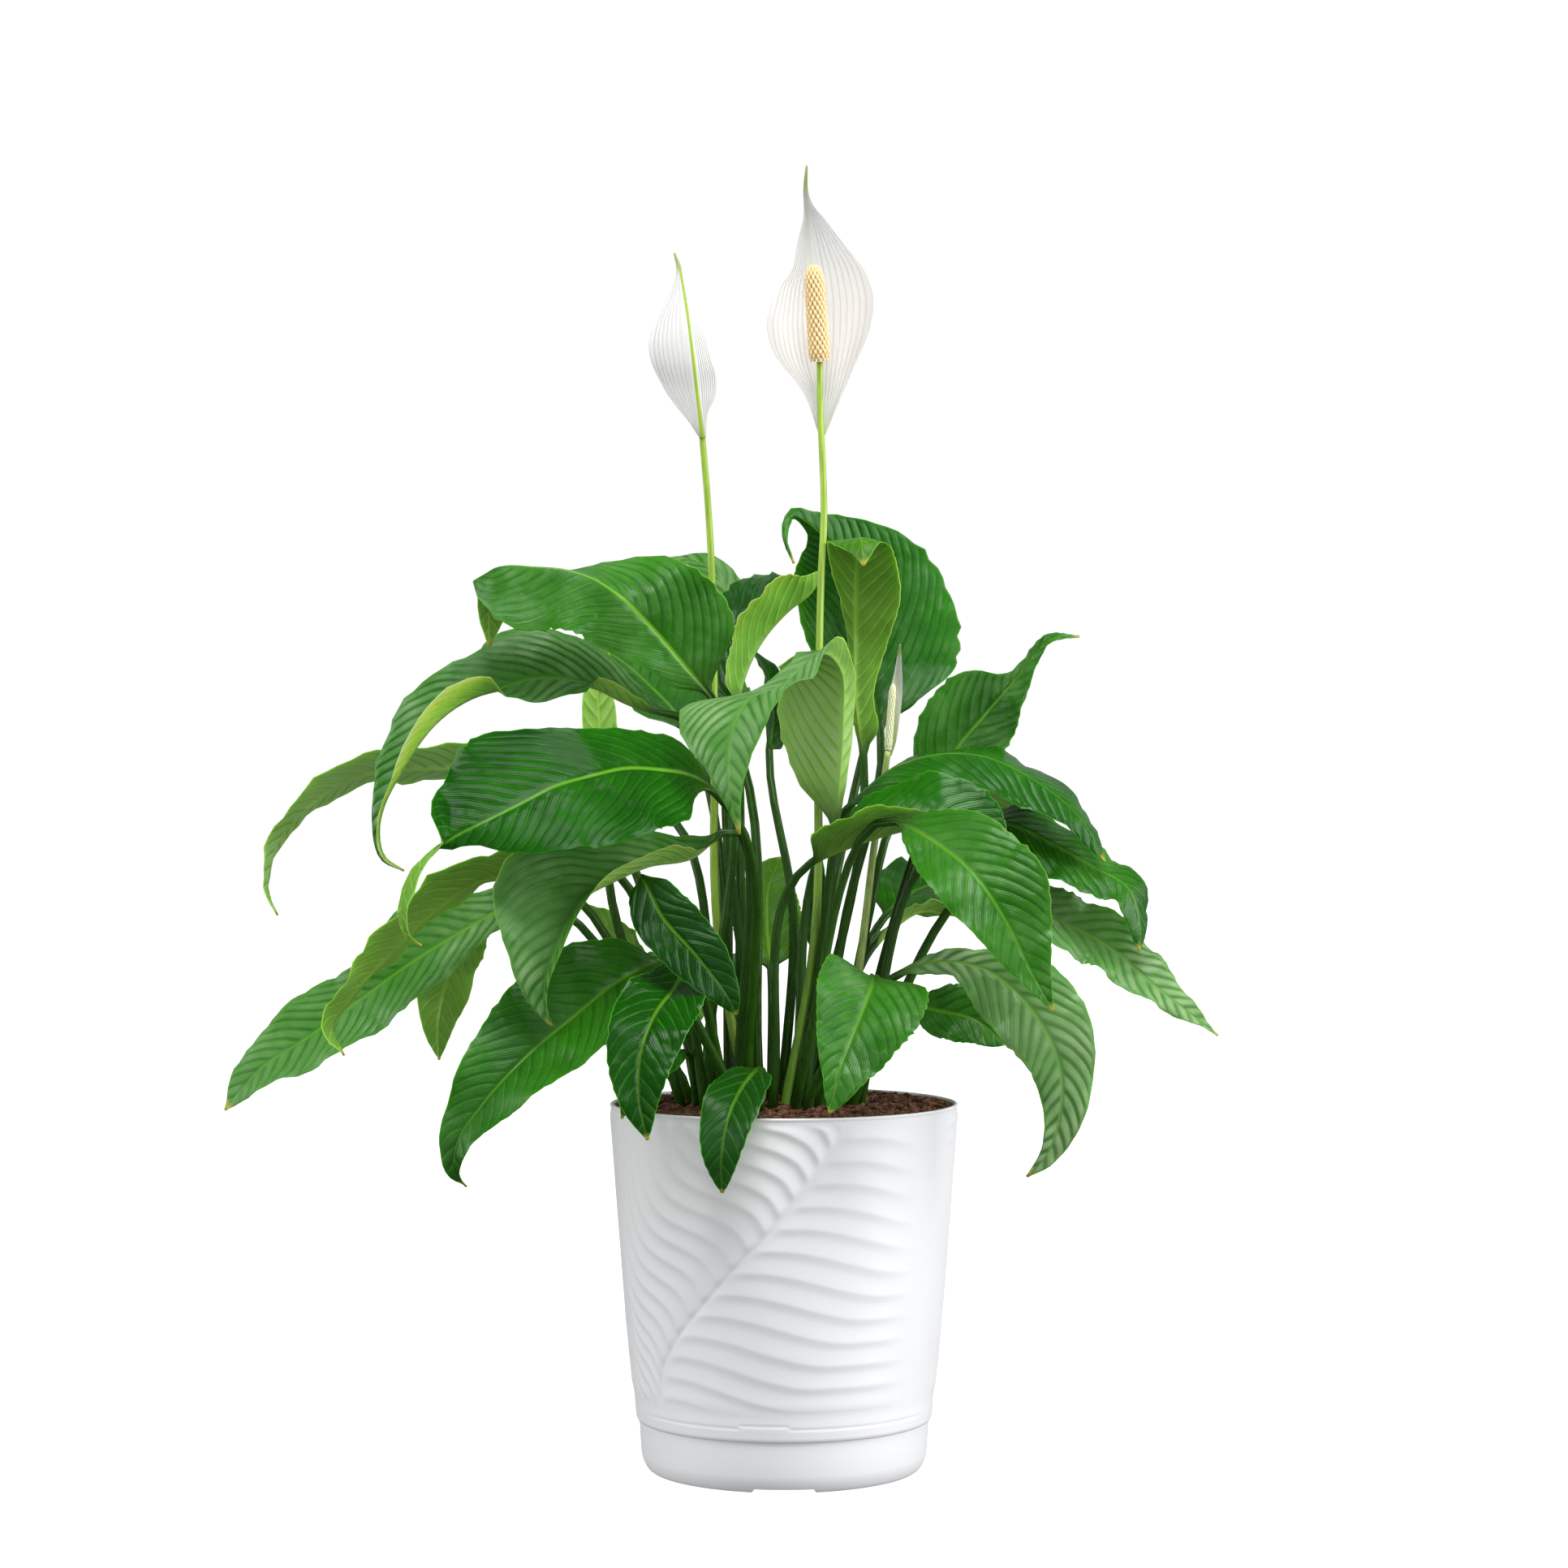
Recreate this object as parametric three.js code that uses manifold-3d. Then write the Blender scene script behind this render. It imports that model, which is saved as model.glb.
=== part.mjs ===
// A potted peace lily: a white ribbed pot on a clip-on saucer, a crown of leaves and three flowers.
// Millimetres, +Z up. The origin is on the floor, on the axis of the pot. The front faces -Y.
import * as THREE from "three";
import { mergeVertices } from "three/addons/utils/BufferGeometryUtils.js";
import Module from "manifold-3d";

// ---------------------------------------------------------------- driving dimensions
const POT_HEIGHT = 178; // floor to rim
const RIM_RADIUS = 85;
const POT_WALL = 2.2;
const SKIRT_Z = 25; // lower edge of the pot, where it laps over the saucer
const POT_FLOOR_Z = 30;
const POT_FLOOR = 3;
const DRAIN_RADIUS = 5;
const DRAIN_CIRCLE = 38;
const RIB_DEPTH = 1; // relief of the leaf ornament
const LEFT_PITCH = 13; // of the side ribs, along the main rib
const RIGHT_PITCH = 15.5;
const RIB_DIP = 12.6; // how far a side rib on the right dips
const LOWEST_FOOT = -110; // the side ribs on the left start this low, under the pot
const PANELS = 2; // the ornament repeats round the pot
const PANEL_START = -112; // degrees from the front
const UNROLL_RADIUS = 80; // the ornament is laid out on the pot's side, unrolled at this radius
const POT_COLUMNS = 54;
const POT_ROWS = 29;

const SAUCER_TOP_Z = 29.7;
const SAUCER_RADIUS = 70.6;
const SAUCER_WALL = 2.2;
const FOOT_RADIUS = 66;
const PAD_RADIUS = 9; // a small pad under the middle, level with the foot ring
const SAUCER_COLUMNS = 40;
const NOTCH_WIDTH = 32;
const NOTCH_HEIGHT = 2.2;

const SOIL_Z = 175.4;
const SOIL_GAP = 0.35; // between the soil and the pot, and between each stem and its hole
const HOLE_FLOOR_Z = 158;

const STEM_RADIUS = 2.6;
const BLADE_THICK = 1.1;
const BLADE_ROWS = 9;
const TWIST_ROWS = 16; // along a leaf that twists
const BACK_ROWS = 6;
const STEM_ROWS = 3;
const CUP_CURVE = 4; // further bend of a cupped half, in degrees

// The leaves are laid out on a front elevation. A point on it is [across, down, depth]:
// across and down in sheet units from the sheet's top left corner, depth in mm behind the axis.
// Sight lines fan out from EYE, so a nearer point on the same spot of the sheet is smaller.
const EYE = { distance: 1700, height: 333.3, middle: 966, units: 4290 };

// Profile of the pot's outside: height, radius.
const POT_PROFILE = [
  [25, 72.0],
  [42.5, 73.9],
  [66, 76.3],
  [98, 78.9],
  [145.5, 82.6],
  [178, 85],
];

// Where the main rib of the ornament runs: height, degrees from the front.
const MAIN_RIB = [
  [-120, -92],
  [25, -58],
  [37, -54],
  [56, -50],
  [72, -41],
  [92, -27],
  [110, -15],
  [124, -5],
  [147, 8],
  [178, 22],
  [300, 78],
];

// A side rib left of the main rib: mm away from it, mm up.
const CLIMB = [
  [0, 0],
  [5.1, 8.8],
  [12.8, 13.9],
  [23.4, 17.6],
  [34.5, 21.4],
  [42, 25.2],
  [48.4, 31.5],
  [52.5, 40.3],
  [55, 50.4],
  [57, 75],
  [58.5, 120],
  [60, 260],
];

const white = { color: 0xf3f4f6, roughness: 0.45, metalness: 0 };
const earth = { color: 0x4a3222, roughness: 0.95, metalness: 0 };
const deepGreen = { color: 0x2f6b2a, roughness: 0.38, metalness: 0 };
const midGreen = { color: 0x3f7d33, roughness: 0.4, metalness: 0 };
const paleGreen = { color: 0x7fae4a, roughness: 0.45, metalness: 0 };
const stalkGreen = { color: 0x8fc13c, roughness: 0.45, metalness: 0 };
const petalWhite = { color: 0xf6f7f4, roughness: 0.5, metalness: 0 };
const cream = { color: 0xf1dfae, roughness: 0.6, metalness: 0 };

const wasm = await Module();
wasm.setup();

const plant = new THREE.Group();

// ---------------------------------------------------------------- helpers
function toSolid(geometry) {
  const bare = geometry.clone();
  bare.deleteAttribute("normal");
  bare.deleteAttribute("uv");
  const merged = mergeVertices(bare, 1e-4);
  return new wasm.Manifold(
    new wasm.Mesh({
      numProp: 3,
      vertProperties: new Float32Array(merged.attributes.position.array),
      triVerts: new Uint32Array(merged.index.array),
    }),
  );
}

function toGeometry(solid) {
  const mesh = solid.getMesh();
  const geometry = new THREE.BufferGeometry();
  geometry.setAttribute("position", new THREE.BufferAttribute(mesh.vertProperties, 3));
  geometry.setIndex(new THREE.BufferAttribute(mesh.triVerts, 1));
  geometry.computeVertexNormals();
  return geometry;
}

function addMesh(name, geometry, look, at = [0, 0, 0]) {
  const mesh = new THREE.Mesh(geometry, new THREE.MeshStandardMaterial(look));
  mesh.name = name;
  mesh.position.set(...at);
  plant.add(mesh);
  return mesh;
}

function prism(radius, z0, z1, x, y, sides, turn = 0) {
  const shape = new THREE.CylinderGeometry(radius, radius, z1 - z0, sides);
  shape.rotateX(Math.PI / 2);
  shape.rotateZ(turn);
  shape.translate(x, y, (z0 + z1) / 2);
  return shape;
}

function smooth(a, b, x) {
  const t = Math.min(1, Math.max(0, (x - a) / (b - a)));
  return t * t * (3 - 2 * t);
}

function along(table, x) {
  let k = 1;
  while (k < table.length - 1 && x > table[k][0]) k += 1;
  const [x0, y0] = table[k - 1];
  const [x1, y1] = table[k];
  return y0 + ((y1 - y0) * (x - x0)) / (x1 - x0);
}

// A closed skin over rows of points: each row is a closed ring with the same number of points.
function skin(rings) {
  const n = rings[0].length;
  const points = rings.flat();
  const faces = [];
  for (let i = 0; i < rings.length - 1; i += 1) {
    for (let j = 0; j < n; j += 1) {
      const k = (j + 1) % n;
      const [a, b, c, d] = [i * n + j, i * n + k, (i + 1) * n + k, (i + 1) * n + j];
      // The upper half runs one way and the lower half the other, so both faces fold alike.
      if (j < n / 2) faces.push([a, c, b], [a, d, c]);
      else faces.push([a, d, b], [b, d, c]);
    }
  }
  const last = (rings.length - 1) * n;
  for (let j = 1; j < n - 1; j += 1) {
    faces.push([0, j, j + 1]);
    faces.push([last, last + j + 1, last + j]);
  }
  const geometry = new THREE.BufferGeometry();
  const flat = points.flatMap((p) => [p.x, p.y, p.z]);
  geometry.setAttribute("position", new THREE.Float32BufferAttribute(flat, 3));
  geometry.setIndex(faces.flat());
  geometry.computeVertexNormals();
  return geometry;
}

// ---------------------------------------------------------------- pot
// The ornament is one big leaf per panel. Its main rib slants across the panel. On its left every
// side rib is the same curve, CLIMB, away from it; on its right they run level and then dip.
function mainRib(z) {
  return THREE.MathUtils.degToRad(along(MAIN_RIB, z)) * UNROLL_RADIUS;
}

// Where f turns from positive to negative between low and high.
function solve(f, low, high) {
  let [a, b] = [low, high];
  for (let i = 0; i < 24; i += 1) {
    const middle = (a + b) / 2;
    if (f(middle) > 0) a = middle;
    else b = middle;
  }
  return a;
}

function ridge(foot, pitch) {
  return 0.5 + 0.5 * Math.cos((2 * Math.PI * foot) / pitch);
}

// How far the ornament stands out at an angle from the front and a height.
function relief(angle, z) {
  const panel = 360 / PANELS;
  const turned = THREE.MathUtils.euclideanModulo(THREE.MathUtils.radToDeg(angle) - PANEL_START, panel);
  const x = THREE.MathUtils.degToRad(PANEL_START + turned) * UNROLL_RADIUS;
  const far = Math.abs(x - mainRib(z));
  let height;
  if (x < mainRib(z)) {
    const foot = solve((h) => z - h - along(CLIMB, mainRib(h) - x), LOWEST_FOOT, z);
    height = ridge(foot, LEFT_PITCH) * (1 - 0.45 * smooth(50, 110, far)) * smooth(0, 16, turned);
  } else {
    const foot = solve((h) => z + RIB_DIP * smooth(12, 80, x - mainRib(h)) - h, z, z + 20);
    height = ridge(foot, RIGHT_PITCH) * (1 - smooth(146, 168, turned));
  }
  const ends = smooth(SKIRT_Z + 11, SKIRT_Z + 19, z) * smooth(POT_HEIGHT - 2.4, POT_HEIGHT - 6, z);
  return RIB_DEPTH * (height * smooth(0, 5, far) * ends - 0.3);
}

function makePot() {
  const rings = [];
  const ring = (radius, z, carved) => {
    const row = [];
    for (let j = 0; j < POT_COLUMNS; j += 1) {
      const front = Math.PI - (2 * Math.PI * j) / POT_COLUMNS; // measured from the front, -Y
      const r = radius + (carved ? relief(front, z) : 0);
      row.push(new THREE.Vector3(r * Math.sin(front), -r * Math.cos(front), z));
    }
    rings.push(row);
  };
  ring(along(POT_PROFILE, SKIRT_Z), SKIRT_Z, false);
  for (let i = 1; i < POT_ROWS; i += 1) {
    const z = SKIRT_Z + ((POT_HEIGHT - SKIRT_Z) * i) / POT_ROWS;
    ring(along(POT_PROFILE, z), z, true);
  }
  ring(RIM_RADIUS, POT_HEIGHT - 0.6, false);
  ring(RIM_RADIUS - POT_WALL / 2, POT_HEIGHT, false);
  ring(RIM_RADIUS - POT_WALL, POT_HEIGHT - 0.6, false);
  const inside = along(POT_PROFILE, POT_FLOOR_Z + POT_FLOOR) - POT_WALL - 0.6;
  ring(inside, POT_FLOOR_Z + POT_FLOOR, false);
  const body = [...rings];
  rings.length = 0;
  // The underside: up inside the skirt and across the floor.
  ring(SAUCER_RADIUS + 0.35, POT_FLOOR_Z, false);
  ring(SAUCER_RADIUS + 0.35, SKIRT_Z, false);
  const loop = [rings[0], rings[1], ...body];
  let solid = toSolid(skin(loop));
  for (let k = 0; k < 6; k += 1) {
    const a = (Math.PI / 3) * k + 0.3;
    const drain = prism(
      DRAIN_RADIUS,
      POT_FLOOR_Z - 1,
      POT_FLOOR_Z + POT_FLOOR + 1,
      DRAIN_CIRCLE * Math.cos(a),
      DRAIN_CIRCLE * Math.sin(a),
      10,
    );
    solid = solid.subtract(toSolid(drain));
  }
  addMesh("pot", toGeometry(solid), white);
}

// ---------------------------------------------------------------- saucer
function makeSaucer() {
  const outline = [
    [0, 0],
    [PAD_RADIUS, 0],
    [PAD_RADIUS + 1, 3.2],
    [FOOT_RADIUS - 6, 3.2],
    [FOOT_RADIUS - 6, 0],
    [FOOT_RADIUS - 1.5, 0],
    [FOOT_RADIUS + 0.8, 1.2],
    [68.4, 4.2],
    [69.6, 8.6],
    [SAUCER_RADIUS, 24],
    [SAUCER_RADIUS, SAUCER_TOP_Z],
    [SAUCER_RADIUS - SAUCER_WALL, SAUCER_TOP_Z],
    [69.6 - SAUCER_WALL, 9],
    [FOOT_RADIUS - 1.5, 5.6],
    [0, 5.6],
  ];
  const turned = new THREE.LatheGeometry(outline.map(([r, z]) => new THREE.Vector2(r, z)), SAUCER_COLUMNS);
  turned.rotateX(Math.PI / 2);
  let solid = toSolid(turned);
  for (let k = 0; k < 3; k += 1) {
    const side = new THREE.Shape();
    const half = NOTCH_WIDTH / 2;
    side.moveTo(-half, -1);
    side.lineTo(half, -1);
    side.lineTo(half - 2, NOTCH_HEIGHT);
    side.lineTo(2 - half, NOTCH_HEIGHT);
    side.closePath();
    const notch = new THREE.ExtrudeGeometry(side, { depth: 22, bevelEnabled: false });
    notch.rotateX(Math.PI / 2);
    notch.translate(0, -52, 0);
    notch.rotateZ((2 * Math.PI * k) / 3);
    solid = solid.subtract(toSolid(notch));
  }
  addMesh("saucer", toGeometry(solid), white);
}

// ---------------------------------------------------------------- leaves
// Where each stem stands in the soil: a staggered grid of holes round the crown.
const HOLE_PITCH = 10.5;
const HOLE_ROW = 9.2;
const CROWN_X = -6;

function hole(i, j) {
  const shift = Math.abs(j) % 2 === 1 ? 0.5 : 0;
  return [CROWN_X + HOLE_PITCH * (i + shift), HOLE_ROW * j];
}

function sheet([across, down, depth]) {
  const scale = (EYE.distance + depth) / EYE.units;
  return new THREE.Vector3(
    (across - EYE.middle) * scale,
    depth,
    EYE.height - (down - EYE.middle) * scale,
  );
}

// A smooth line through points: cubic pieces whose slopes come from the neighbouring chords.
function smoothLine(points, perSpan) {
  const n = points.length;
  const gaps = [];
  for (let i = 0; i < n - 1; i += 1) gaps.push(points[i].distanceTo(points[i + 1]));
  const slopes = points.map((p, i) => {
    if (i === 0) return points[1].clone().sub(p).divideScalar(gaps[0]);
    if (i === n - 1) return p.clone().sub(points[n - 2]).divideScalar(gaps[n - 2]);
    const before = p.clone().sub(points[i - 1]).divideScalar(gaps[i - 1]);
    const after = points[i + 1].clone().sub(p).divideScalar(gaps[i]);
    return before.multiplyScalar(gaps[i]).add(after.multiplyScalar(gaps[i - 1]))
      .divideScalar(gaps[i] + gaps[i - 1]);
  });
  const line = [];
  for (let i = 0; i < n - 1; i += 1) {
    for (let k = 0; k < perSpan; k += 1) {
      const t = k / perSpan;
      const h = gaps[i];
      line.push(
        new THREE.Vector3()
          .addScaledVector(points[i], 2 * t ** 3 - 3 * t ** 2 + 1)
          .addScaledVector(slopes[i], h * (t ** 3 - 2 * t ** 2 + t))
          .addScaledVector(points[i + 1], 3 * t ** 2 - 2 * t ** 3)
          .addScaledVector(slopes[i + 1], h * (t ** 3 - t ** 2)),
      );
    }
  }
  line.push(points[n - 1].clone());
  return line;
}

function lengthsOf(line) {
  const sums = [0];
  for (let i = 1; i < line.length; i += 1) sums.push(sums[i - 1] + line[i].distanceTo(line[i - 1]));
  return sums;
}

function pointAt(line, sums, s) {
  let k = 1;
  while (k < sums.length - 1 && s > sums[k]) k += 1;
  const t = (s - sums[k - 1]) / (sums[k] - sums[k - 1]);
  return line[k - 1].clone().lerp(line[k], t);
}

// Half width of a blade at t, from 0 at its foot to 1 at its tip.
function halfWidth(t, half, belly, taper) {
  const foot = (belly * taper) / (1 - belly);
  const u = Math.min(0.9999, Math.max(0.0001, t));
  return half * (u / belly) ** foot * ((1 - u) / (1 - belly)) ** taper;
}

// A table of [t, value] read at t. Two plain numbers are the values at both ends.
function readAt(table, t) {
  return Array.isArray(table[0]) ? along(table, t) : THREE.MathUtils.lerp(table[0], table[1], t);
}

// A leaf: a round stem out of its hole, then the blade.
// hole: [i, j] on the grid; stem: points on the way up; rib: points along the blade, foot first;
// width; roll: turn of the blade about its rib at the foot and tip, toward the viewer, in degrees;
// fold: rise of each half from the rib, then its further bend half way out, in degrees, at the foot,
// with foldTip at the tip and foldLeft where the left half differs; wave: height, number, start;
// belly: where along the blade it is widest; taper: how slender the tip is; back: out of sight.
// A leaf that twists or is lopsided has tables of [t, value] instead: right and left are its half
// widths in mm, cupRight and cupLeft the rise of each half, and roll may be a table too.
function leafRings(leaf, bladeRows, stemRows) {
  const [hx, hy] = hole(...leaf.hole);
  const rib = leaf.rib.map(sheet);
  const up = (leaf.stem ?? []).map(sheet);
  const start = new THREE.Vector3(hx, hy, SOIL_Z + 4);
  const line = smoothLine([start, ...up, ...rib], 14);
  const sums = lengthsOf(line);
  const footIndex = (1 + up.length) * 14;
  const foot = sums[footIndex];
  const total = sums[sums.length - 1];
  const bladeLength = total - foot;
  const stations = [];
  for (let i = 0; i < stemRows; i += 1) stations.push((foot * i) / stemRows);
  for (let i = 0; i <= bladeRows; i += 1) {
    const t = i / bladeRows;
    stations.push(foot + bladeLength * (0.75 * t + 0.25 * (1 - Math.cos(Math.PI * t)) / 2));
  }
  const chord = rib[rib.length - 1].clone().sub(rib[0]);
  const heading = leaf.head ?? [chord.x, chord.y];
  const side = new THREE.Vector3(heading[1], -heading[0], 0).normalize();
  const sign = (leaf.head ? leaf.head[0] : chord.x) < 0 ? -1 : 1;
  const roll = leaf.roll ?? [0, 0];
  const fold = leaf.fold ?? [12, 4];
  const foldTip = leaf.foldTip ?? fold;
  const wave = leaf.wave ?? [2, 4, 0];
  const belly = leaf.belly ?? 0.38;
  const taper = leaf.taper ?? 1.15;
  const stem = leaf.thick ?? STEM_RADIUS;
  const frames = stations.map((s) => {
    const here = pointAt(line, sums, s);
    const ahead = pointAt(line, sums, Math.min(total, s + 1.5));
    const behind = pointAt(line, sums, Math.max(0, s - 1.5));
    return { s, here, way: ahead.sub(behind).normalize(), right: null, top: null };
  });
  for (let i = stemRows; i < frames.length; i += 1) {
    const f = frames[i];
    const t = (f.s - foot) / bladeLength;
    const right = side.clone().addScaledVector(f.way, -side.dot(f.way)).normalize();
    right.applyAxisAngle(f.way, sign * THREE.MathUtils.degToRad(readAt(roll, t)));
    f.right = right;
    f.top = right.clone().cross(f.way);
  }
  for (let i = stemRows - 1; i >= 0; i -= 1) {
    const f = frames[i];
    const next = frames[i + 1].right;
    f.right = next.clone().addScaledVector(f.way, -next.dot(f.way)).normalize();
    f.top = f.right.clone().cross(f.way);
  }
  const rings = frames.map((f) => {
    const t = Math.max(0, (f.s - foot) / bladeLength);
    const blend = f.s <= foot ? 0 : smooth(0, 0.1, t);
    const radius = stem * (1 - 0.22 * Math.min(1, f.s / foot));
    const least = 0.7 + (radius - 0.7) * (1 - smooth(0, 0.25, t));
    const thick = BLADE_THICK * (1 - 0.3 * t);
    const keel = 1.7 * (1 - 0.75 * t);
    const flat = [];
    const fade = Math.sin(Math.PI * Math.min(1, t * 1.02)) ** 0.5 || 0;
    for (const sideSign of [1, -1]) {
      const edge = sideSign === 1 ? leaf.right : leaf.left;
      const half = edge ? along(edge, t) : halfWidth(t, leaf.width / 2, belly, taper);
      const w = Math.max(half, least);
      const low = sideSign === 1 ? fold : (leaf.foldLeft ?? fold);
      const high = sideSign === 1 ? foldTip : (leaf.foldLeftTip ?? leaf.foldLeft ?? foldTip);
      const cup = sideSign === 1 ? leaf.cupRight : leaf.cupLeft;
      const inner = cup ? along(cup, t) : THREE.MathUtils.lerp(low[0], high[0], t);
      const outer = cup ? CUP_CURVE : THREE.MathUtils.lerp(low[1], high[1], t);
      const a0 = THREE.MathUtils.degToRad(inner);
      const a1 = THREE.MathUtils.degToRad(inner + outer);
      const phase = 2 * Math.PI * wave[1] * t + wave[2] + (sideSign === 1 ? 0 : 1.9);
      const ripple = wave[0] * fade * Math.sin(phase);
      const q = [(w / 2) * Math.cos(a0), (w / 2) * Math.sin(a0) + ripple * 0.3];
      const m = [q[0] + (w / 2) * Math.cos(a1), q[1] + (w / 2) * Math.sin(a1) + ripple * 0.7];
      flat.push({ q: [sideSign * q[0], q[1]], m: [sideSign * m[0], m[1]] });
    }
    const [r, l] = flat;
    const blade = [
      r.m,
      [r.q[0], r.q[1] + thick / 2],
      [0, thick * 0.45],
      [l.q[0], l.q[1] + thick / 2],
      l.m,
      [l.q[0], l.q[1] - thick / 2],
      [0, -thick * 0.45 - keel],
      [r.q[0], r.q[1] - thick / 2],
    ];
    return blade.map(([x, y], j) => {
      const a = (Math.PI * j) / 4;
      const rx = radius * Math.cos(a);
      const ry = radius * Math.sin(a);
      return f.here.clone()
        .addScaledVector(f.right, rx + (x - rx) * blend)
        .addScaledVector(f.top, ry + (y - ry) * blend);
    });
  });
  const bottom = rings[0].map((p) => new THREE.Vector3(p.x, p.y, HOLE_FLOOR_Z + SOIL_GAP));
  const level = rings[0].map((p) => new THREE.Vector3(p.x, p.y, SOIL_Z + 2.4));
  return [bottom, level, ...rings.slice(1)];
}

const leaves = [
  // upper left
  {
    name: "leaf_01", look: midGreen, hole: [-1, -1],
    rib: [[876, 858, -18], [846, 823, -26], [800, 770, -34], [762, 733, -40], [730, 712, -43],
      [700, 702, -44], [655, 698, -42], [624, 697, -36], [606, 703, -30], [603, 738, -24],
      [603, 797, -20]],
    roll: [[0, 78], [0.3, 84], [0.62, 76], [0.7, 60], [0.78, 0], [0.87, -62], [1, -75]],
    right: [[0, 2], [0.08, 29], [0.16, 35], [0.25, 36], [0.33, 33], [0.45, 30], [0.6, 22], [0.7, 15],
      [0.8, 15], [0.88, 11], [0.94, 6], [1, 0.5]],
    left: [[0, 2], [0.08, 10], [0.16, 14], [0.25, 20], [0.33, 24.5], [0.45, 28], [0.58, 31], [0.66, 33],
      [0.74, 25], [0.82, 8], [0.92, 5], [1, 0.5]],
    cupRight: [[0, 0], [0.28, 2], [0.36, -28], [0.44, -62], [0.56, -80], [0.68, -80], [0.8, -30], [1, 0]],
    cupLeft: [[0, 8], [0.5, 4], [1, 0]],
    wave: [1.4, 4, 0.5],
  },
  {
    name: "leaf_02", look: deepGreen, hole: [-3, 0],
    rib: [[834, 882, 0], [800, 875, -2], [770, 864, -5], [740, 849, -9], [700, 838, -14], [650, 838, -20],
      [619, 848, -24], [585, 858, -27], [558, 873, -29], [530, 898, -31], [508, 928, -33], [488, 962, -34],
      [474, 990, -34], [467, 1022, -33], [474, 1056, -31], [498, 1073, -28]],
    roll: [[0, 50], [1, 50]],
    right: [[0, 2], [0.08, 12], [0.19, 24], [0.3, 31], [0.37, 34], [0.43, 28], [0.48, 24], [0.55, 22],
      [0.61, 23], [0.68, 18], [0.75, 14], [0.81, 7.5], [0.88, 4.5], [0.94, 3], [1, 0.5]],
    left: [[0, 2], [0.08, 8], [0.19, 10], [0.28, 11], [0.33, 13], [0.38, 13.5], [0.43, 13], [0.48, 17],
      [0.54, 20], [0.61, 17], [0.68, 11], [0.75, 6], [0.81, 4], [0.88, 3], [0.94, 2.5], [1, 0.5]],
    cupRight: [[0, 0], [1, 0]],
    cupLeft: [[0, 70], [0.16, 75], [0.26, 10], [0.36, -6], [0.43, 20], [0.5, 78], [1, 80]],
    wave: [1.2, 4, 1],
  },
  {
    name: "leaf_03", look: deepGreen, hole: [-1, -2],
    rib: [[882, 978, -48], [850, 956, -54], [812, 949, -62], [773, 947, -70], [730, 956, -80],
      [682, 970, -88], [643, 990, -95], [599, 1012, -102], [552, 1036, -108], [518, 1064, -113],
      [501, 1098, -117], [496, 1130, -118], [503, 1155, -117], [520, 1165, -116]],
    roll: [[0, 45], [0.64, 57], [0.71, 98], [0.82, 196], [1, 215]],
    right: [[0, 2], [0.075, 16], [0.15, 23], [0.23, 24], [0.31, 27], [0.41, 36], [0.49, 43], [0.55, 41],
      [0.61, 33], [0.68, 22], [0.74, 9], [0.8, 5], [0.86, 5], [0.93, 3.5], [1, 0.5]],
    left: [[0, 2], [0.075, 22], [0.15, 34], [0.23, 40], [0.31, 41], [0.41, 41], [0.5, 34], [0.6, 20],
      [0.68, 6], [0.75, 3.5], [0.85, 3], [0.92, 2.5], [1, 0.5]],
    fold: [10, 4], foldTip: [-10, 0], foldLeft: [0, 2], foldLeftTip: [0, 2], wave: [1.2, 4, 0],
  },
  {
    name: "leaf_04", look: midGreen, hole: [-3, 1], width: 31,
    rib: [[640, 928, 28], [560, 945, 30], [490, 948, 32], [430, 960, 34], [384, 991, 36], [346, 1030, 38],
      [332, 1066, 40], [329, 1100, 40], [342, 1128, 40]],
    roll: [-40, -20], fold: [10, 0], belly: 0.26, taper: 1.1, wave: [1.6, 5, 0],
  },
  // lower left
  {
    name: "leaf_05", look: midGreen, hole: [-4, 0],
    rib: [[660, 1095, 4], [600, 1130, 0], [502, 1190, -4], [440, 1235, -6], [380, 1278, -10],
      [320, 1318, -14], [277, 1368, -16]],
    right: [[0, 2], [0.1, 12], [0.2, 22], [0.29, 32], [0.36, 30], [0.43, 23], [0.5, 16], [0.56, 20],
      [0.63, 23.5], [0.71, 22], [0.81, 17], [0.91, 10.5], [1, 0.5]],
    left: [[0, 2], [0.1, 9], [0.2, 15], [0.3, 21], [0.4, 24], [0.5, 25], [0.6, 24.5], [0.71, 22],
      [0.81, 17], [0.91, 10.5], [1, 0.5]],
    roll: [50, 44], fold: [8, 0], wave: [2, 4.5, 0],
  },
  {
    name: "leaf_06", look: paleGreen, hole: [-3, -1], width: 38,
    rib: [[700, 1052, -22], [652, 1068, -30], [585, 1086, -38], [530, 1125, -46], [480, 1175, -54],
      [430, 1230, -60], [407, 1265, -62], [424, 1301, -62]],
    roll: [-35, -40], fold: [14, 0], belly: 0.45, taper: 1, wave: [2, 4, 2],
  },
  {
    name: "leaf_07", look: deepGreen, hole: [-4, 1], width: 34,
    rib: [[640, 1112, 30], [590, 1130, 34], [560, 1172, 38], [548, 1220, 40], [540, 1265, 40],
      [541, 1306, 38]],
    roll: [-30, -75], fold: [10, 0], belly: 0.4, taper: 0.9, wave: [2, 4, 0],
  },
  {
    name: "leaf_08", look: midGreen, hole: [-2, -1],
    rib: [[890, 1026, -34], [855, 1055, -44], [800, 1066, -56], [757, 1085, -66], [724, 1104, -76],
      [703, 1132, -84], [685, 1172, -90], [671, 1217, -92], [672, 1243, -91], [681, 1265, -90]],
    roll: [[0, 45], [0.45, 46], [0.65, 58], [1, 60]],
    right: [[0, 2], [0.13, 13], [0.29, 22], [0.42, 27], [0.52, 34], [0.6, 40], [0.66, 39], [0.74, 31],
      [0.87, 13], [0.94, 5], [1, 0.5]],
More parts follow.
